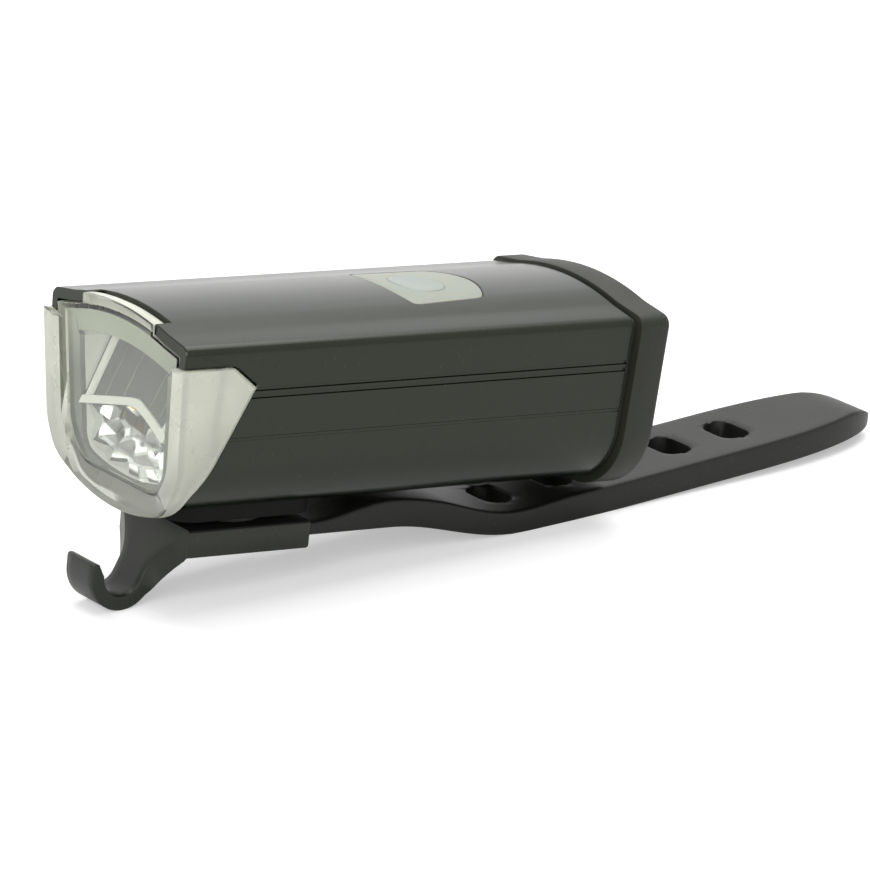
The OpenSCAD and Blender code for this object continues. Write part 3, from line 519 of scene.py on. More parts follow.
# %% Bezel and reflector box
BEZEL_IN, BEZEL_OUT, BOX_Y, BOX_WALL = 5.2, 2.34, -4.6, 0.45
OPENING_Z, OPENING_BOW, OPENING_R = 10.9, 1.5, 7.0
# The bezel's grey darkens from 27 mm down to 0.42 at 21 mm: painted shade below its lit top.
bezel_grey = make_finish("bezel_grey", (0.36, 0.39, 0.31), 0.5, bump=0.04, mottle=0.06,
                         painted_shade=(0.021, 0.027, 0.42))
visor_grey = make_finish("visor_grey", (0.09, 0.10, 0.088), 0.35, bump=0.03, mottle=0.08)
white_box = make_finish("reflector_white", (0.94, 0.95, 0.91), 0.3, bump=0.03, mottle=0.03)
side_share = np.linspace(0, 1, 8)[1:-1]


def behind_plate(z):
    """Place along Y just behind the lens's front plate at height z."""
    return front_face(z) + LENS_WALL + 0.35


def opening(out):
    """Right half of the bezel's opening, grown by out: the tube's outline drawn in, with tighter lower
    corners and its bottom bowed down by a parabola."""
    d = BEZEL_IN - out
    low, top = low_part(d, OPENING_Z - BEZEL_IN, OPENING_R), top_part(d, d)
    low[:, 1] -= OPENING_BOW * (1 - (low[:, 0] / low[-1, 0]) ** 2)
    z = low[-1, 1] + (top[0, 1] - low[-1, 1]) * side_share
    return np.concatenate([low, np.stack([side_x(z, d), z], 1), top])


def box_ring(half, y=None):
    """A whole ring of points from a half outline, at y or, without y, behind the front plate."""
    return mirror(at_y(half, behind_plate(half[:, 1]) if y is None else y)[None])[0]


def closed_tube(rings):
    """Points and quads of a ring of rings, the last joined to the first."""
    rows = np.stack([*rings, rings[0]])
    return rows.reshape(-1, 3), grid_quads(*rows.shape[:2], True).reshape(-1, 4).tolist()


back, apart = np.array([0, 0.7, 0]), np.array([0, 0.735, 0])
hole, wide, bed = opening(0.0), opening(BOX_WALL), tube_half(BEZEL_OUT, BEZEL_OUT, side_share)
rings = [box_ring(hole), box_ring(bed), box_ring(bed) + back, box_ring(hole) + back]
make_piece("lens_bezel", *closed_tube(rings), bezel_grey, "dark_plastic", "lamp")
rings = [box_ring(hole) + apart, box_ring(wide) + apart, box_ring(wide, BOX_Y), box_ring(hole, BOX_Y)]
make_piece("reflector_box", *closed_tube(rings), white_box, "reflector_silver", "lamp", ["reflector"])

# %% [markdown]
# ## Visor
# A grey visor slopes up and back in the box, swept back to the middle, with a white lip along its lower
# edge and a white rib up each side. A folded plate would do. As a function of the place across and the
# height above the lip, it takes fine ridges, and the lip and the ribs follow it exactly.

# %% Visor
VISOR_Y, VISOR_SWEEP, VISOR_Z, VISOR_FALL, VISOR_RAKE = -12.55, 2.1, 19.5, 2.2, 0.476
VISOR_LINES = np.array([-0.62, -0.3, 0.3, 0.62])


def visor_at(u, z_up, lift):
    """Point of the visor at u across and z_up above its lip, moved forward by lift. The lip falls and comes
    forward to both sides, and above it the visor goes back by its rake for every millimetre it rises."""
    sweep = np.sqrt(u**2 + 0.01)
    y, z = VISOR_Y - VISOR_SWEEP * sweep + VISOR_RAKE * z_up - lift, VISOR_Z - VISOR_FALL * sweep + z_up
    return np.stack([u * (side_x(z, BEZEL_IN) + 0.05), y, z], -1)


def visor_slab(u, z_up, lift, thick):
    """Closed slab over a grid of the visor; lift may change across u."""
    height, across = np.meshgrid(z_up, u, indexing="ij")
    front = visor_at(across, height, np.broadcast_to(lift, across.shape))
    return shell(front, front + np.array([0, thick, 0]))


def joined(*meshes):
    """One list of points and faces from several."""
    starts = np.cumsum([0] + [len(points) for points, _ in meshes])
    faces = [[i + int(a) for i in face] for a, (_, part) in zip(starts, meshes) for face in part]
    return np.concatenate([points for points, _ in meshes]), faces


u = np.concatenate([np.linspace(-1, 1, 11), VISOR_LINES, VISOR_LINES - 0.015, VISOR_LINES + 0.015])
u = np.sort(u)
ridges = np.where(np.isclose(np.abs(u[:, None]), np.abs(VISOR_LINES)).any(1), 0.14, 0.0)
slab = visor_slab(u, np.linspace(0, 11, 6), ridges, 0.7)
make_piece("visor", *slab, visor_grey, "reflector_silver", "lamp", sharp=12)
rib_u, rib_z, rib_lift = np.array([0.83, 0.85, 0.93, 0.95]), np.linspace(0.25, 11.5, 6), [0.1, 0.4, 0.4, 0.1]
ribs = [visor_slab(way * rib_u, rib_z, rib_lift, 0.6) for way in (-1, 1)]
lip = visor_slab(np.linspace(-1, 1, 31), np.array([-0.8, -0.7, 0.1, 0.2]), 0.3, 0.7)
make_piece("visor_trim", *joined(*ribs, lip), white_box, "reflector_silver", "lamp")

# %% [markdown]
# ## Stepped bowl
# Below the visor lies a silvered bowl of facets in steps. A smooth bowl would be easier, but each flat
# facet shows as one block of light, as in the photograph. So the grid's lines are doubled, and every second
# block is set back.

# %% Stepped bowl
BOWL_TOP, BOWL_MIDDLE, STEP_BACK = 17.4, np.array([0, 17.6]), 0.8
half = opening(0.05)
mouth = half[half[:, 1] < BOWL_TOP]
along = np.concatenate([[0], np.cumsum(np.hypot(*np.diff(mouth, axis=0).T))])
column = np.repeat(np.linspace(0, along[-1], 7), 2)[1:-1]
column = np.concatenate([-column[:0:-1], column])
ring_x, ring_z = (np.interp(np.abs(column), along, mouth[:, axis]) for axis in (0, 1))
ring = np.stack([np.sign(column) * ring_x, ring_z], 1)
reach = np.repeat([1.0, 0.8, 0.58, 0.34, 0.1], 2)[1:-1]
block = np.add.outer(np.arange(len(reach)) // 2, (np.arange(len(column)) + 1) // 2)
flat = BOWL_MIDDLE + reach[:, None, None] * (ring - BOWL_MIDDLE)
depth = np.repeat([0.3, 2.2, 4.3, 6.3], 2)[:, None] + np.where(block % 2, STEP_BACK, 0.0)
bowl = np.stack([flat[..., 0], behind_plate(flat[..., 1]) + 0.8 + depth, flat[..., 1]], -1)
points, faces = shell(bowl, bowl + np.array([0, 0.8, 0]))
make_piece("stepped_bowl", points, faces, silver, "reflector_silver", "lamp", sharp=8)

# %% [markdown]
# ## Rear cap
# A moulded plug closes the tube behind. It stands a little proud of the housing, more at the sides than on
# top, with a rounded rear edge. The rings along Y are the same outline drawn in by a quarter circle, and
# the flat rear face, with the charging port and two screw pits in it, is triangulated, because a flat face
# has no shading to spoil.


# %% Outlines and flat faces
def round_rect(w, h, r, n=8):
    """Rectangle of width w and height h with corners of radius r, as a closed loop of points."""
    turn = np.radians(np.concatenate([np.linspace(q, q + 90, n) for q in (0, 90, 180, 270)]))
    cx = np.repeat([1, -1, -1, 1], n) * (w / 2 - r)
    cy = np.repeat([1, 1, -1, -1], n) * (h / 2 - r)
    return np.stack([cx + r * np.cos(turn), cy + r * np.sin(turn)], 1)


def circle(x, y, r, n=32):
    """Circle of radius r about (x, y)."""
    turn = np.linspace(0, 2 * np.pi, n, endpoint=False)
    return np.stack([x + r * np.cos(turn), y + r * np.sin(turn)], 1)


def loop_faces(outline, holes):
    """Points and triangles over a flat outline with holes left out: a constrained triangulation, keeping the
    triangles whose middles lie inside the outline and outside every hole."""
    loops = [outline, *holes]
    flat = np.concatenate(loops)
    ends = np.cumsum([0] + [len(loop) for loop in loops])
    edges = [(int(a + i), int(a + (i + 1) % (b - a))) for a, b in zip(ends, ends[1:]) for i in range(b - a)]
    _, _, faces, _, _, _ = delaunay_2d_cdt([tuple(v) for v in flat], edges, [], 0, 1e-9)
    faces = np.array(faces)
    middle = flat[faces].mean(1)

    def inside(loop):
        a, b = loop, np.roll(loop, -1, 0)
        x, y = middle[:, :1], middle[:, 1:]
        across = (a[:, 1] > y) != (b[:, 1] > y)
        with np.errstate(divide="ignore", invalid="ignore"):
            meet = a[:, 0] + (y - a[:, 1]) * (b[:, 0] - a[:, 0]) / (b[:, 1] - a[:, 1])
        return (across & (x < meet)).sum(1) % 2 == 1

    keep = inside(outline) & ~np.any([inside(hole) for hole in holes], 0)
    return flat, faces[keep]


# %% Rear cap
CAP_PROUD, CAP_TOP_PROUD, CAP_CAVE, CAP_ROUND, PLATE_Y = 1.1, 0.4, 3.45, 0.9, 56.0
SOCKET_Z, SCREW_X, SCREW_Z, PIT_R, PIT_DEPTH = 26.62, 9.0, 13.17, 1.92, 1.2


def cap_row(y, d):
    """Right half of the cap's outline at y, drawn in by d from its proud lip, as one row of points."""
    return at_y(tube_half(d - CAP_PROUD, d - CAP_TOP_PROUD, side_share), y)


cave_row = tube_half(CAP_CAVE, CAP_CAVE, side_share)
cap_rows = [at_y(cave_row, PLATE_Y), at_y(cave_row, CAP_Y0), cap_row(CAP_Y0, 0.25)]
cap_rows += [cap_row(CAP_Y0 + 0.07, 0.07), cap_row(CAP_Y0 + 0.25, 0), cap_row(CAP_Y1 - 2.4, 0)]
for t in np.radians(np.linspace(0, 90, 7)):
    cap_rows.append(cap_row(CAP_Y1 - CAP_ROUND + CAP_ROUND * np.sin(t), CAP_ROUND * (1 - np.cos(t))))
rows = mirror(np.stack(cap_rows))
cap_points, cap_faces = [rows.reshape(-1, 3)], grid_quads(*rows.shape[:2], True).reshape(-1, 4).tolist()
port = round_rect(9.3, 3.5, 1.7) + np.array([0, SOCKET_Z])
pits = [circle(x, SCREW_Z, PIT_R) for x in (-SCREW_X, SCREW_X)]
for ring, holes, y in ((rows[-1][:, [0, 2]], [port, *pits], CAP_Y1), (rows[0][:, [0, 2]], [port], PLATE_Y)):
    flat, triangles = loop_faces(ring, holes)
    cap_faces += (triangles + sum(map(len, cap_points))).tolist()
    cap_points.append(np.insert(flat, 1, y, axis=1))
for loop, y in ((port, PLATE_Y), (pits[0], CAP_Y1 - PIT_DEPTH), (pits[1], CAP_Y1 - PIT_DEPTH)):
    wall = np.stack([np.insert(loop, 1, CAP_Y1, axis=1), np.insert(loop, 1, y, axis=1)])
    start = sum(map(len, cap_points))
    cap_faces += (grid_quads(2, len(loop), True).reshape(-1, 4) + start).tolist()
    if y > PLATE_Y:
        cap_faces.append((np.arange(len(loop)) + start + len(loop)).tolist())
    cap_points.append(wall.reshape(-1, 3))
cap_points = np.concatenate(cap_points)
make_piece("rear_plug_cap", cap_points, cap_faces, cap_black, "cap_black", "lamp", ["rear_cap"])

# %% [markdown]
# ## Button
# The button is a frosted surround with a softer key in it. Both follow the crown's arch. They could be cut
# from the crown's surface. In the plan they are two outlines, so a polar grid about the key's middle joins
# one to the other: row by row out from the key, column by column round it.

# %% Button plan
PAD_GAP, KEY_GAP, PAD_THICK, KEY_SKIRT = 0.06, 0.04, 2.4, 3.2


def reach_of(loop, centre, turn):
    """Distance from centre to a closed loop along each angle of turn, read off points set close along its
    edges."""
    step = np.linspace(0, 1, 24, endpoint=False)[:, None, None]
    away = (loop + (np.roll(loop, -1, 0) - loop) * step).reshape(-1, 2) - centre
    angle = np.arctan2(away[:, 1], away[:, 0])
    order = np.argsort(angle)
    return np.interp(turn, angle[order], np.hypot(*away[order].T), period=2 * np.pi)


key_middle = np.array([0, KEY_Y])
across = np.concatenate([np.linspace(-1, -0.8, 24), np.linspace(-0.8, 0.8, 60)[1:-1],
                         np.linspace(0.8, 1, 24)])
ends = [(pad_end(u, way), u) for u, way in ((across, -1), (across[::-1], 1))]
pad_loop = np.concatenate([np.stack([u * pad_half(y), y], 1) for y, u in ends])
key_loop = round_rect(7.8, 6.8, 3.0, 20) + key_middle
turn = np.linspace(-np.pi, np.pi, 144, endpoint=False)
spoke = np.stack([np.cos(turn), np.sin(turn)], 1)
pad_reach, key_reach = reach_of(pad_loop, key_middle, turn), reach_of(key_loop, key_middle, turn)
print("spokes of the button:", len(turn))


def on_crown(reach, drop):
    """Points at a distance from the key's middle along every spoke, a drop below the crown."""
    flat = key_middle + spoke * np.reshape(reach, (-1, 1))
    return np.stack([flat[:, 0], flat[:, 1], crown_at(flat[:, 0]) - drop], 1)


# %% Button
outer_edge = pad_reach - PAD_GAP
top = [(key_reach, 0.07), (key_reach + 0.05, 0.02), (key_reach + 0.2, 0.0)]
top += [(key_reach + 0.2 + (outer_edge - key_reach - 0.4) * t, 0.0) for t in (0.33, 0.67)]
top += [(outer_edge - 0.2, 0.0), (outer_edge - 0.06, 0.04), (outer_edge, 0.14)]
upper = np.stack([on_crown(reach, drop) for reach, drop in top])
lower = np.stack([on_crown(reach, PAD_THICK) for reach, _ in top])
make_piece("button_surround", *shell(upper, lower, True), frosted, "button_frost", "lamp", ["button_frame"])

key_edge = key_reach - KEY_GAP
key_rows = [(key_edge * t, 0.20 * (1 - t**2) ** 2 - 0.06) for t in (0.02, 0.2, 0.4, 0.6, 0.75, 0.87)]
key_rows += [(key_edge - 0.3, -0.06), (key_edge - 0.09, -0.02), (key_edge, 0.05), (key_edge, KEY_SKIRT)]
rows = np.stack([on_crown(reach, drop) for reach, drop in key_rows])
make_piece("press_key", *capped(rows), key_frost, "key_frost", "button", ["button_key"])

# %% [markdown]
# ## Charging flap
# A soft flap covers the port. It is a rounded plate with a sunken middle and a plug that fills the port.
# Plate and plug could be two solids. One polar grid that runs from the plug round the edge to the middle of
# the outside makes them one.

# %% Charging flap
FLAP_Y, FLAP_T, PLUG_FACE = 58.15, 1.2, 57.0
seal = make_finish("seal_rubber", (0.022, 0.022, 0.021), 0.62, grain=2600, bump=0.18)
flap_middle = np.array([0, SOCKET_Z])
flap_reach = reach_of(round_rect(14, 8, 2.2, 20), np.zeros(2), turn)
plug_reach = reach_of(round_rect(8.7, 2.9, 1.4, 20), np.zeros(2), turn)
flap_rows = [(plug_reach * 0.05, PLUG_FACE), (plug_reach - 0.2, PLUG_FACE), (plug_reach, PLUG_FACE + 0.2)]
flap_rows += [(plug_reach, FLAP_Y), (flap_reach - 0.2, FLAP_Y), (flap_reach, FLAP_Y + 0.2)]
flap_rows += [(flap_reach, FLAP_Y + 0.85), (flap_reach - 0.1, FLAP_Y + 1.1)]
flap_rows += [(flap_reach - 0.35, FLAP_Y + FLAP_T), (flap_reach - 1.1, FLAP_Y + FLAP_T)]
flap_rows += [(flap_reach - 1.35, FLAP_Y + 0.98)]
flap_rows += [(flap_reach * share, FLAP_Y + 0.95) for share in (0.5, 0.05)]
rows = [np.insert(flap_middle + spoke * reach[:, None], 1, y, axis=1) for reach, y in flap_rows]
make_piece("port_flap", *capped(np.stack(rows)), seal, "seal_rubber", "flap", ["usb_flap"])

# %% [markdown]
# ## Bracket
# A nylon block with a hook in front. Its side view is a strip between an upper and a lower line that run
# from the hook's tip, round the bend and up the stem to the block, and its width flares from the hook to
# the block. It could be an extrusion with trimmed sides. As a grid along the two lines it can have its long
# edges drawn together a little, which rounds them.

# %% Bracket outline
HOOK_Y, HOOK_Z, HOOK_R, HOOK_IN_R, SEAT = -15.624, -3.1, 4.7, 2.8, 9.4
TIP_Z, FRONT_Y, BLOCK_H = -1.3, -9.48, 3.8
HOOK_HALF, BLOCK_HALF, FLARE_LEN, FLARE_POWER = 3.2, 8.0, 2.6, 1.5


def strip(start, n, a, b):
    """n points on the line from a to b, from that share of the way on and without the last."""
    t = np.linspace(start, 1, n, endpoint=False)[:, None]
    return np.array(a) + (np.array(b) - np.array(a)) * t


def bend(r, end, n=22):
    """Arc of the hook from its tip side to the angle where the stem starts."""
    turn = np.radians(np.linspace(180, end, n))
    return np.stack([HOOK_Y + r * np.cos(turn), HOOK_Z + r * np.sin(turn)], 1)


under_arc, over_arc = bend(HOOK_R, 339), bend(HOOK_IN_R, 336)
tip = np.array([HOOK_Y, TIP_Z])
under_tip = tip + np.array([[-4.35, 0], [-4.62, -0.12], [-4.7, -0.4]])
over_tip = tip + np.array([[-3.95, 0], [-3.68, -0.12], [-3.55, -0.4]])
under = np.concatenate([under_tip, under_arc, strip(0.1, 9, under_arc[-1], [-SEAT, 0]),
                        strip(0, 8, [-SEAT, 0], [SEAT, 0]), [[SEAT - 0.2, 0], [SEAT, 0.15]]])
over = np.concatenate([over_tip, over_arc, strip(0.1, 9, over_arc[-1], [FRONT_Y, BLOCK_H]),
                       strip(0, 8, [FRONT_Y, BLOCK_H], [SEAT, BLOCK_H]),
                       [[SEAT - 0.2, BLOCK_H], [SEAT, BLOCK_H - 0.15]]])
spread = np.array([-1, -0.985, -0.95, -0.6, 0, 0.6, 0.95, 0.985, 1.0])
ease_in = np.array([0.30, 0.09, 0, 0, 0, 0, 0, 0.09, 0.30])
print("points along each line of the bracket:", len(under), len(over))


# %% Bracket
def bracket_width(y):
    """Half width at y: the hook's, flaring ever faster to the block's over the last stretch of the stem."""
    flare = np.clip((y - FRONT_Y + FLARE_LEN) / FLARE_LEN, 0, 1) ** FLARE_POWER
    return HOOK_HALF + (BLOCK_HALF - HOOK_HALF) * flare


def bracket_side(line, other):
    """Points of one line over the width; near both long edges they draw towards the other line to round
    them."""
    gap = np.hypot(*(other - line).T)[:, None, None]
    drawn = line[:, None] + (other - line)[:, None] * np.minimum(ease_in[None, :, None] / gap, 0.4)
    x = spread[None] * bracket_width(line[:, :1])
    return np.concatenate([x[..., None], drawn], -1)


points, faces = shell(bracket_side(over, under), bracket_side(under, over))
# The block's top, in the housing's shadow, takes the near black: painted shade.
painted_shade_top = (over[1:, 0] > FRONT_Y + 0.1) & (over[1:, 1] > BLOCK_H - 0.1)
zone = np.zeros(len(faces), bool)
zone[:len(painted_shade_top) * (len(spread) - 1)] = np.repeat(painted_shade_top, len(spread) - 1)
make_piece("hook_block", points, faces, moulded, "bracket_black", "bracket", ["hook_bracket"], 40, zone,
           black_with_painted_shade)

# %% [markdown]
# ## Strap
# The strap is one long piece of rubber with five oval holes: a thin neck at the block, an arch, a dip that
# touches the floor and a tail that rises to a rounded tip with a sloped nose. It is made in six lengths, each
# standing for one or two of the strap's solids. The grid's cross lines bow round the holes, whose cells are
# left out.

# %% Strap profile
SPLITS = (0.0, 9.5, 22.86, 37.15, 47.05, 56.95, STRAP_LEN)
ARCH_AT, DIP_AT, DIP_SPAN, NECK_Z, DIP_Z = 13.0, 32.5, 12.0, 1.65, -0.85
TAIL_RISE, TAIL_TURN = np.tan(np.radians(9.1)), 6.0
STRAP_T, NECK_T, DIP_T, TIP_T = 3.9, 1.8, 3.2, 1.0
TIP_LEN, TIP_POWER, NOSE_LEN, TIP_ROWS = 26.0, 2.6, 8.0, 12.0
HOLE_AT, HOLE_PITCH, HOLE_COUNT = 34.5, 9.9, 5
STRAP_HALF, HOLE_GAP, HOLE_R, HOLE_STUB = 7.8, 1.5, 2.2, 0.16
HOLE_HALF = HOLE_GAP + HOLE_R
HOLES = HOLE_AT + HOLE_PITCH * np.arange(HOLE_COUNT)


def ease(u):
    """Half a cosine wave from 0 to 1."""
    return (1 - np.cos(np.pi * np.clip(u, 0, 1))) / 2


def strap_low(s):
    """Height of the strap's underside at distance s behind the block: level, down into the dip, then a
    hyperbola up the tail."""
    dip = NECK_Z + (DIP_Z - NECK_Z) * ease((s - ARCH_AT) / (DIP_AT - ARCH_AT))
    tail = DIP_Z + TAIL_RISE * (np.sqrt((s - DIP_AT) ** 2 + TAIL_TURN**2) - TAIL_TURN)
    return np.where(s < DIP_AT, dip, tail)


def strap_thick(s):
    """Thickness at s: full, less at the neck and in the dip, and falling by a parabola over the nose."""
    neck = (STRAP_T - NECK_T) * (1 - ease(s / ARCH_AT))
    dip = (STRAP_T - DIP_T) * (1 - ease(np.abs(s - DIP_AT) / DIP_SPAN))
    nose = (STRAP_T - TIP_T) * np.clip((s - STRAP_LEN + NOSE_LEN) / NOSE_LEN, 0, 1) ** 2
    return STRAP_T - neck - dip - nose


def strap_half(s):
    """Half width at s: straight, then a superellipse over the rounded tip."""
    u = np.clip((s - STRAP_LEN + TIP_LEN) / TIP_LEN, 0, 1)
    return STRAP_HALF * np.sqrt(1 - u**TIP_POWER)


print("thickest place of the strap:", round(float(strap_thick(np.arange(STRAP_LEN)).max()), 2), "mm")

# %% Strap
edge_x = np.array([7.8, 7.74, 7.55, 7.2])
round_x = HOLE_GAP + HOLE_R * np.sin(np.radians(np.linspace(90, 0, 11)))
half_x = np.concatenate([edge_x, [6.4, 5.2, 4.05], round_x, [HOLE_GAP / 2]])
strap_x = np.concatenate([-half_x, [0], half_x[::-1]])
edge_drop = np.interp(np.abs(strap_x), edge_x[::-1], [0, 0.06, 0.26, 0.6])


def hole_reach(x):
    """Half length of a hole at x: straight between two half circles, never quite closing at its ends, and a
    short stub beyond them that keeps the grid open."""
    a = np.clip((np.abs(x) - HOLE_GAP) / HOLE_R, 0, 1)
    stub = HOLE_STUB + 0.3 * np.clip(np.abs(x) - HOLE_HALF, 0, STRAP_HALF)
    return np.maximum(HOLE_R * np.sqrt(1 - a**2), stub)


def strap_rows(start, end):
    """Rows of distances s over the columns from start to end, the mask of kept cells and the rims'
    roundness."""
    plain = np.linspace(start, end, int((end - start) / 1.1) + 2)
    if end == STRAP_LEN:
        tip = STRAP_LEN - TIP_ROWS * np.cos(np.radians(np.linspace(0, 88.5, 16))) ** 2
        plain = np.concatenate([plain[plain < STRAP_LEN - TIP_ROWS - 0.5], tip])
    holes = [h for h in HOLES if start < h < end]
    rows = [(np.full(len(strap_x), v), 0, False) for v in plain if all(abs(v - h) > 2.6 for h in holes)]
    reach = hole_reach(strap_x)
    for h in holes:
        rows += [(h - reach - 0.35, 0, False), (h - reach, 1, True), (np.full(len(reach), h), 2, True)]
        rows += [(h + reach, 1, False), (h + reach + 0.35, 0, False)]
    rows.sort(key=lambda row: row[0][len(strap_x) // 2])
    s = np.stack([row[0] for row in rows])
    in_hole = np.abs(strap_x) < HOLE_HALF + 0.01
    keep = np.ones((len(s) - 1, len(strap_x) - 1), bool)
    keep[[i for i, row in enumerate(rows[:-1]) if row[2]]] = ~(in_hole[1:] & in_hole[:-1])
    soft, at_end = np.array([row[1] for row in rows])[:, None], np.abs(np.abs(strap_x) - HOLE_HALF) < 0.01
    rim = np.where((soft == 1) & in_hole | (soft == 2) & at_end, 0.2, 0.0)
    return s, keep, rim


for i, (start, end) in enumerate(zip(SPLITS, SPLITS[1:])):
    s, keep, rim = strap_rows(start, end)
    x = strap_x * strap_half(s) / STRAP_HALF
    drop = np.minimum(edge_drop + rim, strap_thick(s) * 0.35)
    upper = np.stack([x, STRAP_Y + s, strap_low(s) + strap_thick(s) - drop], -1)
    lower = np.stack([x, STRAP_Y + s, strap_low(s) + drop], -1)
    mesh = shell(upper, lower, False, keep)
    solids = [["strap_root", "strap_link_1"], *[[f"strap_link_{k}"] for k in range(2, 6)], ["strap_tail"]][i]
    length = make_piece(f"strap_length_{i + 1}", *mesh, rubber, "strap_rubber", None, solids, sharp=50)
    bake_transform(length)

# %% [markdown]
# ## Pieces that keep their solids
# The inner pieces and the small hardware could be modelled again, but they already have the right shape, so
# they only get finishes. Metal is brushed by a fine grain, boards and sleeves are glossy, and the rest is
# moulded plastic.

# %% Finishes of the solids
steel = make_finish("plated_steel", (0.52, 0.53, 0.54), 0.30, grain=3000, bump=0.08, metal=1.0)
white_board = make_finish("white_board", (0.78, 0.78, 0.74), 0.45, bump=0.05, mottle=0.04)
green_board = make_finish("green_board", (0.02, 0.12, 0.04), 0.3, grain=2500, bump=0.12, mottle=0.3)
finishes = {
    "lens_gasket": seal, "rear_gasket": seal, "led_board": white_board, "main_board": green_board,
    "led_emitter": make_finish("emitter_yellow", (0.85, 0.66, 0.12), 0.35, bump=0.03),
    "heat_sink": make_finish("bare_aluminium", (0.62, 0.63, 0.64), 0.34, bump=0.1, metal=1.0),
    # the mount foot takes the near black that carries painted shade under the housing
    "inner_sled": moulded, "tact_switch": moulded, "mount_foot": black_with_painted_shade,
    "battery_cell": make_finish("cell_sleeve", (0.05, 0.15, 0.28), 0.28, bump=0.04),
    "battery_tabs": steel, "usb_socket": steel, "rear_screws": steel, "foot_screws": steel,
    "pivot_screw": steel, "strap_pin": steel, "switch_plunger": white_board, "indicator_leds": white_board,
    "swivel_washer": make_finish("nylon_washer", (0.06, 0.06, 0.056), 0.45, bump=0.1),
}
for node, finish in finishes.items():
    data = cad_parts[node].data
    data.materials.clear()
    data.materials.append(finish)
print("solids with a finish:", len(finishes))

# %% [markdown]
# ## Camera
# The photograph was taken from the lamp's front left with a long lens. The camera could be turned by hand
# until the picture fits. Here its place, its three angles and its focal length are set, so the fit can be
# repeated.

# %% Camera
AZ, EL, ROLL = np.radians([52.88, 14.90, 6.4])
CAMERA_AT = np.array([612.3, -429.5, 215.7])
FOCAL_PIXELS, PICTURE_PIXELS, SENSOR = 6000, 870, 36
away = np.array([np.sin(AZ) * np.cos(EL), -np.cos(AZ) * np.cos(EL), np.sin(EL)])
right = np.array([np.cos(AZ), np.sin(AZ), 0])
up = np.array([-np.sin(AZ) * np.sin(EL), np.cos(AZ) * np.sin(EL), np.cos(EL)])
right, up = np.cos(ROLL) * right + np.sin(ROLL) * up, np.cos(ROLL) * up - np.sin(ROLL) * right
camera = bpy.data.objects.new("camera", bpy.data.cameras.new("camera"))
bpy.context.scene.collection.objects.link(camera)
stand = np.eye(4)
stand[:3, :3] = np.stack([right, up, away], 1)
stand[:3, 3] = CAMERA_AT * MM
camera.matrix_world = Matrix(stand.tolist())
camera.data.sensor_width, camera.data.lens = SENSOR, FOCAL_PIXELS / PICTURE_PIXELS * SENSOR
camera.data.clip_start, camera.data.clip_end = 0.01, 50
bpy.context.scene.camera = camera
print("camera lens:", round(camera.data.lens, 1), "mm")

# %% [markdown]
# ## Floor
# The lamp rests on its hook and on the dip of its strap, so the floor is tilted to pass just under these
# two places. A plain white floor would grey towards its edges, so it gives a little light of its own to
# rays from the camera.

# %% Floor
FLOOR_HALF, FLOOR_GAP, FLOOR_GLOW = 2e3, 0.02, 0.42
hook_low, dip_low = np.array([HOOK_Y, HOOK_Z - HOOK_R]), np.array([STRAP_Y + DIP_AT, DIP_Z])
slope = (dip_low - hook_low)[1] / (dip_low - hook_low)[0]
corners = FLOOR_HALF * np.array([[-1, -1], [1, -1], [1, 1], [-1, 1]])
corners = np.insert(corners, 2, hook_low[1] - FLOOR_GAP + slope * (corners[:, 1] - hook_low[0]), axis=1)
floor = bpy.data.objects.new("floor", bpy.data.meshes.new("floor"))
floor.data.from_pydata((corners * MM).tolist(), [], [(0, 1, 2, 3)])
bpy.context.scene.collection.objects.link(floor)


def seen_directly(nodes, links, mirrored):
    """1 on rays from the camera, on rays through glass and, if asked, on mirrored rays, and 0 on the
    others."""
    path = nodes.new("ShaderNodeLightPath")
    first, second = nodes.new("ShaderNodeMath"), nodes.new("ShaderNodeMath")
    first.operation = second.operation = "MAXIMUM"
    links.new(path.outputs["Is Camera Ray"], first.inputs[0])
    links.new(path.outputs["Is Transmission Ray"], first.inputs[1])
    links.new(first.outputs[0], second.inputs[0])
    if mirrored:
        links.new(path.outputs["Is Glossy Ray"], second.inputs[1])
    return second.outputs[0]


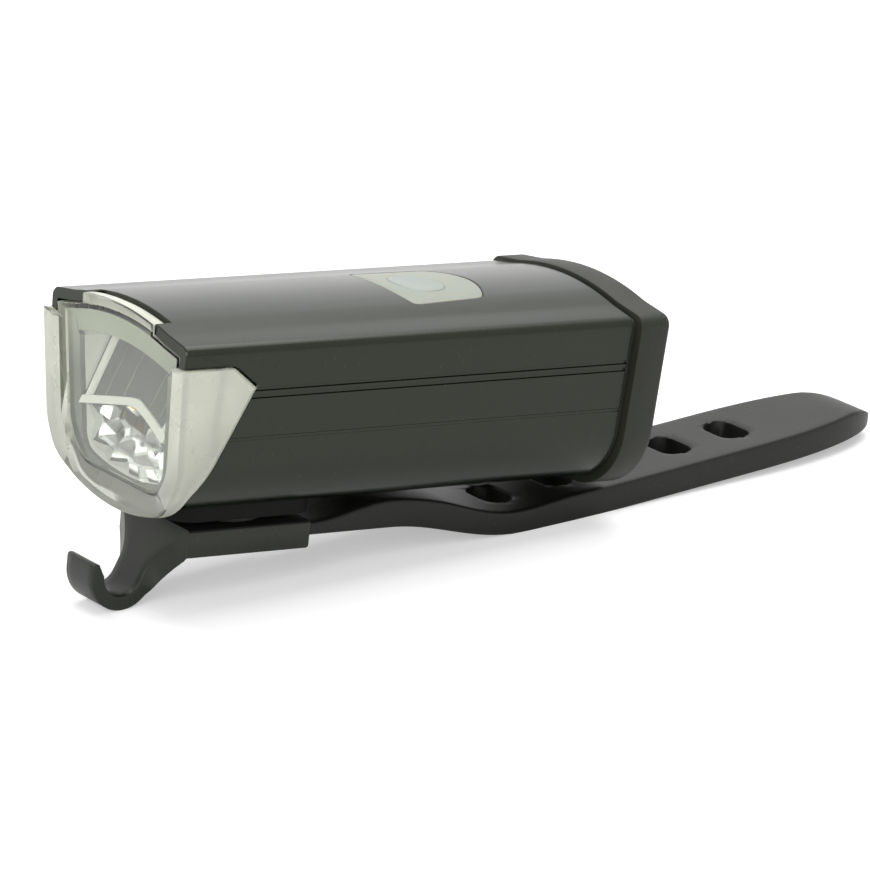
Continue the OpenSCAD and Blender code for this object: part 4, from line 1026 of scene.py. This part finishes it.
paper = bpy.data.materials.new("pale_floor")
paper.use_nodes = True
nodes, links = paper.node_tree.nodes, paper.node_tree.links
shader = nodes["Principled BSDF"]
shader.inputs["Base Color"].default_value = (0.82, 0.82, 0.82, 1)
shader.inputs["Roughness"].default_value = 0.9
shader.inputs["Specular IOR Level"].default_value = 0.0
lift = nodes.new("ShaderNodeMath")
lift.operation = "MULTIPLY"
lift.inputs[1].default_value = FLOOR_GLOW
links.new(seen_directly(nodes, links, False), lift.inputs[0])
shader.inputs["Emission Color"].default_value = (1, 1, 1, 1)
links.new(lift.outputs[0], shader.inputs["Emission Strength"])
floor.data.materials.append(paper)
print("floor tilt:", round(float(np.degrees(np.arctan(slope))), 2), "degrees")

# %% [markdown]
# ## Light
# The lamp was photographed in a white room. One lamp overhead would leave the front dark. So there are
# three soft lamps: a large one overhead, one at the front left and a low strip on the far side.

# %% Light
world = bpy.data.worlds.new("white_room")
world.use_nodes = True
bpy.context.scene.world = world
nodes, links = world.node_tree.nodes, world.node_tree.links
room = nodes.get("Background") or nodes.new("ShaderNodeBackground")
room.inputs["Color"].default_value = (1, 1, 1, 1)
level = nodes.new("ShaderNodeMapRange")
level.inputs["To Min"].default_value, level.inputs["To Max"].default_value = 0.45, 1.0
links.new(seen_directly(nodes, links, True), level.inputs["Value"])
links.new(level.outputs["Result"], room.inputs["Strength"])


def soft_lamp(name, place, target, width, height, watts):
    """A rectangular soft lamp at a place, turned to a target; lengths in metres."""
    lamp = bpy.data.objects.new(name, bpy.data.lights.new(name, "AREA"))
    lamp.data.shape, lamp.data.size, lamp.data.size_y, lamp.data.energy = "RECTANGLE", width, height, watts
    z = np.array(place) - np.array(target)
    z = z / np.linalg.norm(z)
    x = np.cross([0, 1, 0], z)
    x = x / np.linalg.norm(x)
    turned = np.eye(4)
    turned[:3, :3] = np.stack([x, np.cross(z, x), z], 1)
    turned[:3, 3] = place
    lamp.matrix_world = Matrix(turned.tolist())
    bpy.context.scene.collection.objects.link(lamp)
    return lamp


soft_lamp("overhead", (-0.15, 0.1, 0.8), (0, 0.03, 0.02), 0.9, 0.9, 7.0)
soft_lamp("front_left", (0.5, -0.75, 0.45), (0, 0.0, 0.02), 0.5, 0.5, 3.2)
soft_lamp("far_strip", (-0.78, 0.59, 0.115), (0, 0.02, 0.03), 0.9, 0.21, 0.22)
bpy.context.scene.view_settings.view_transform = "Standard"
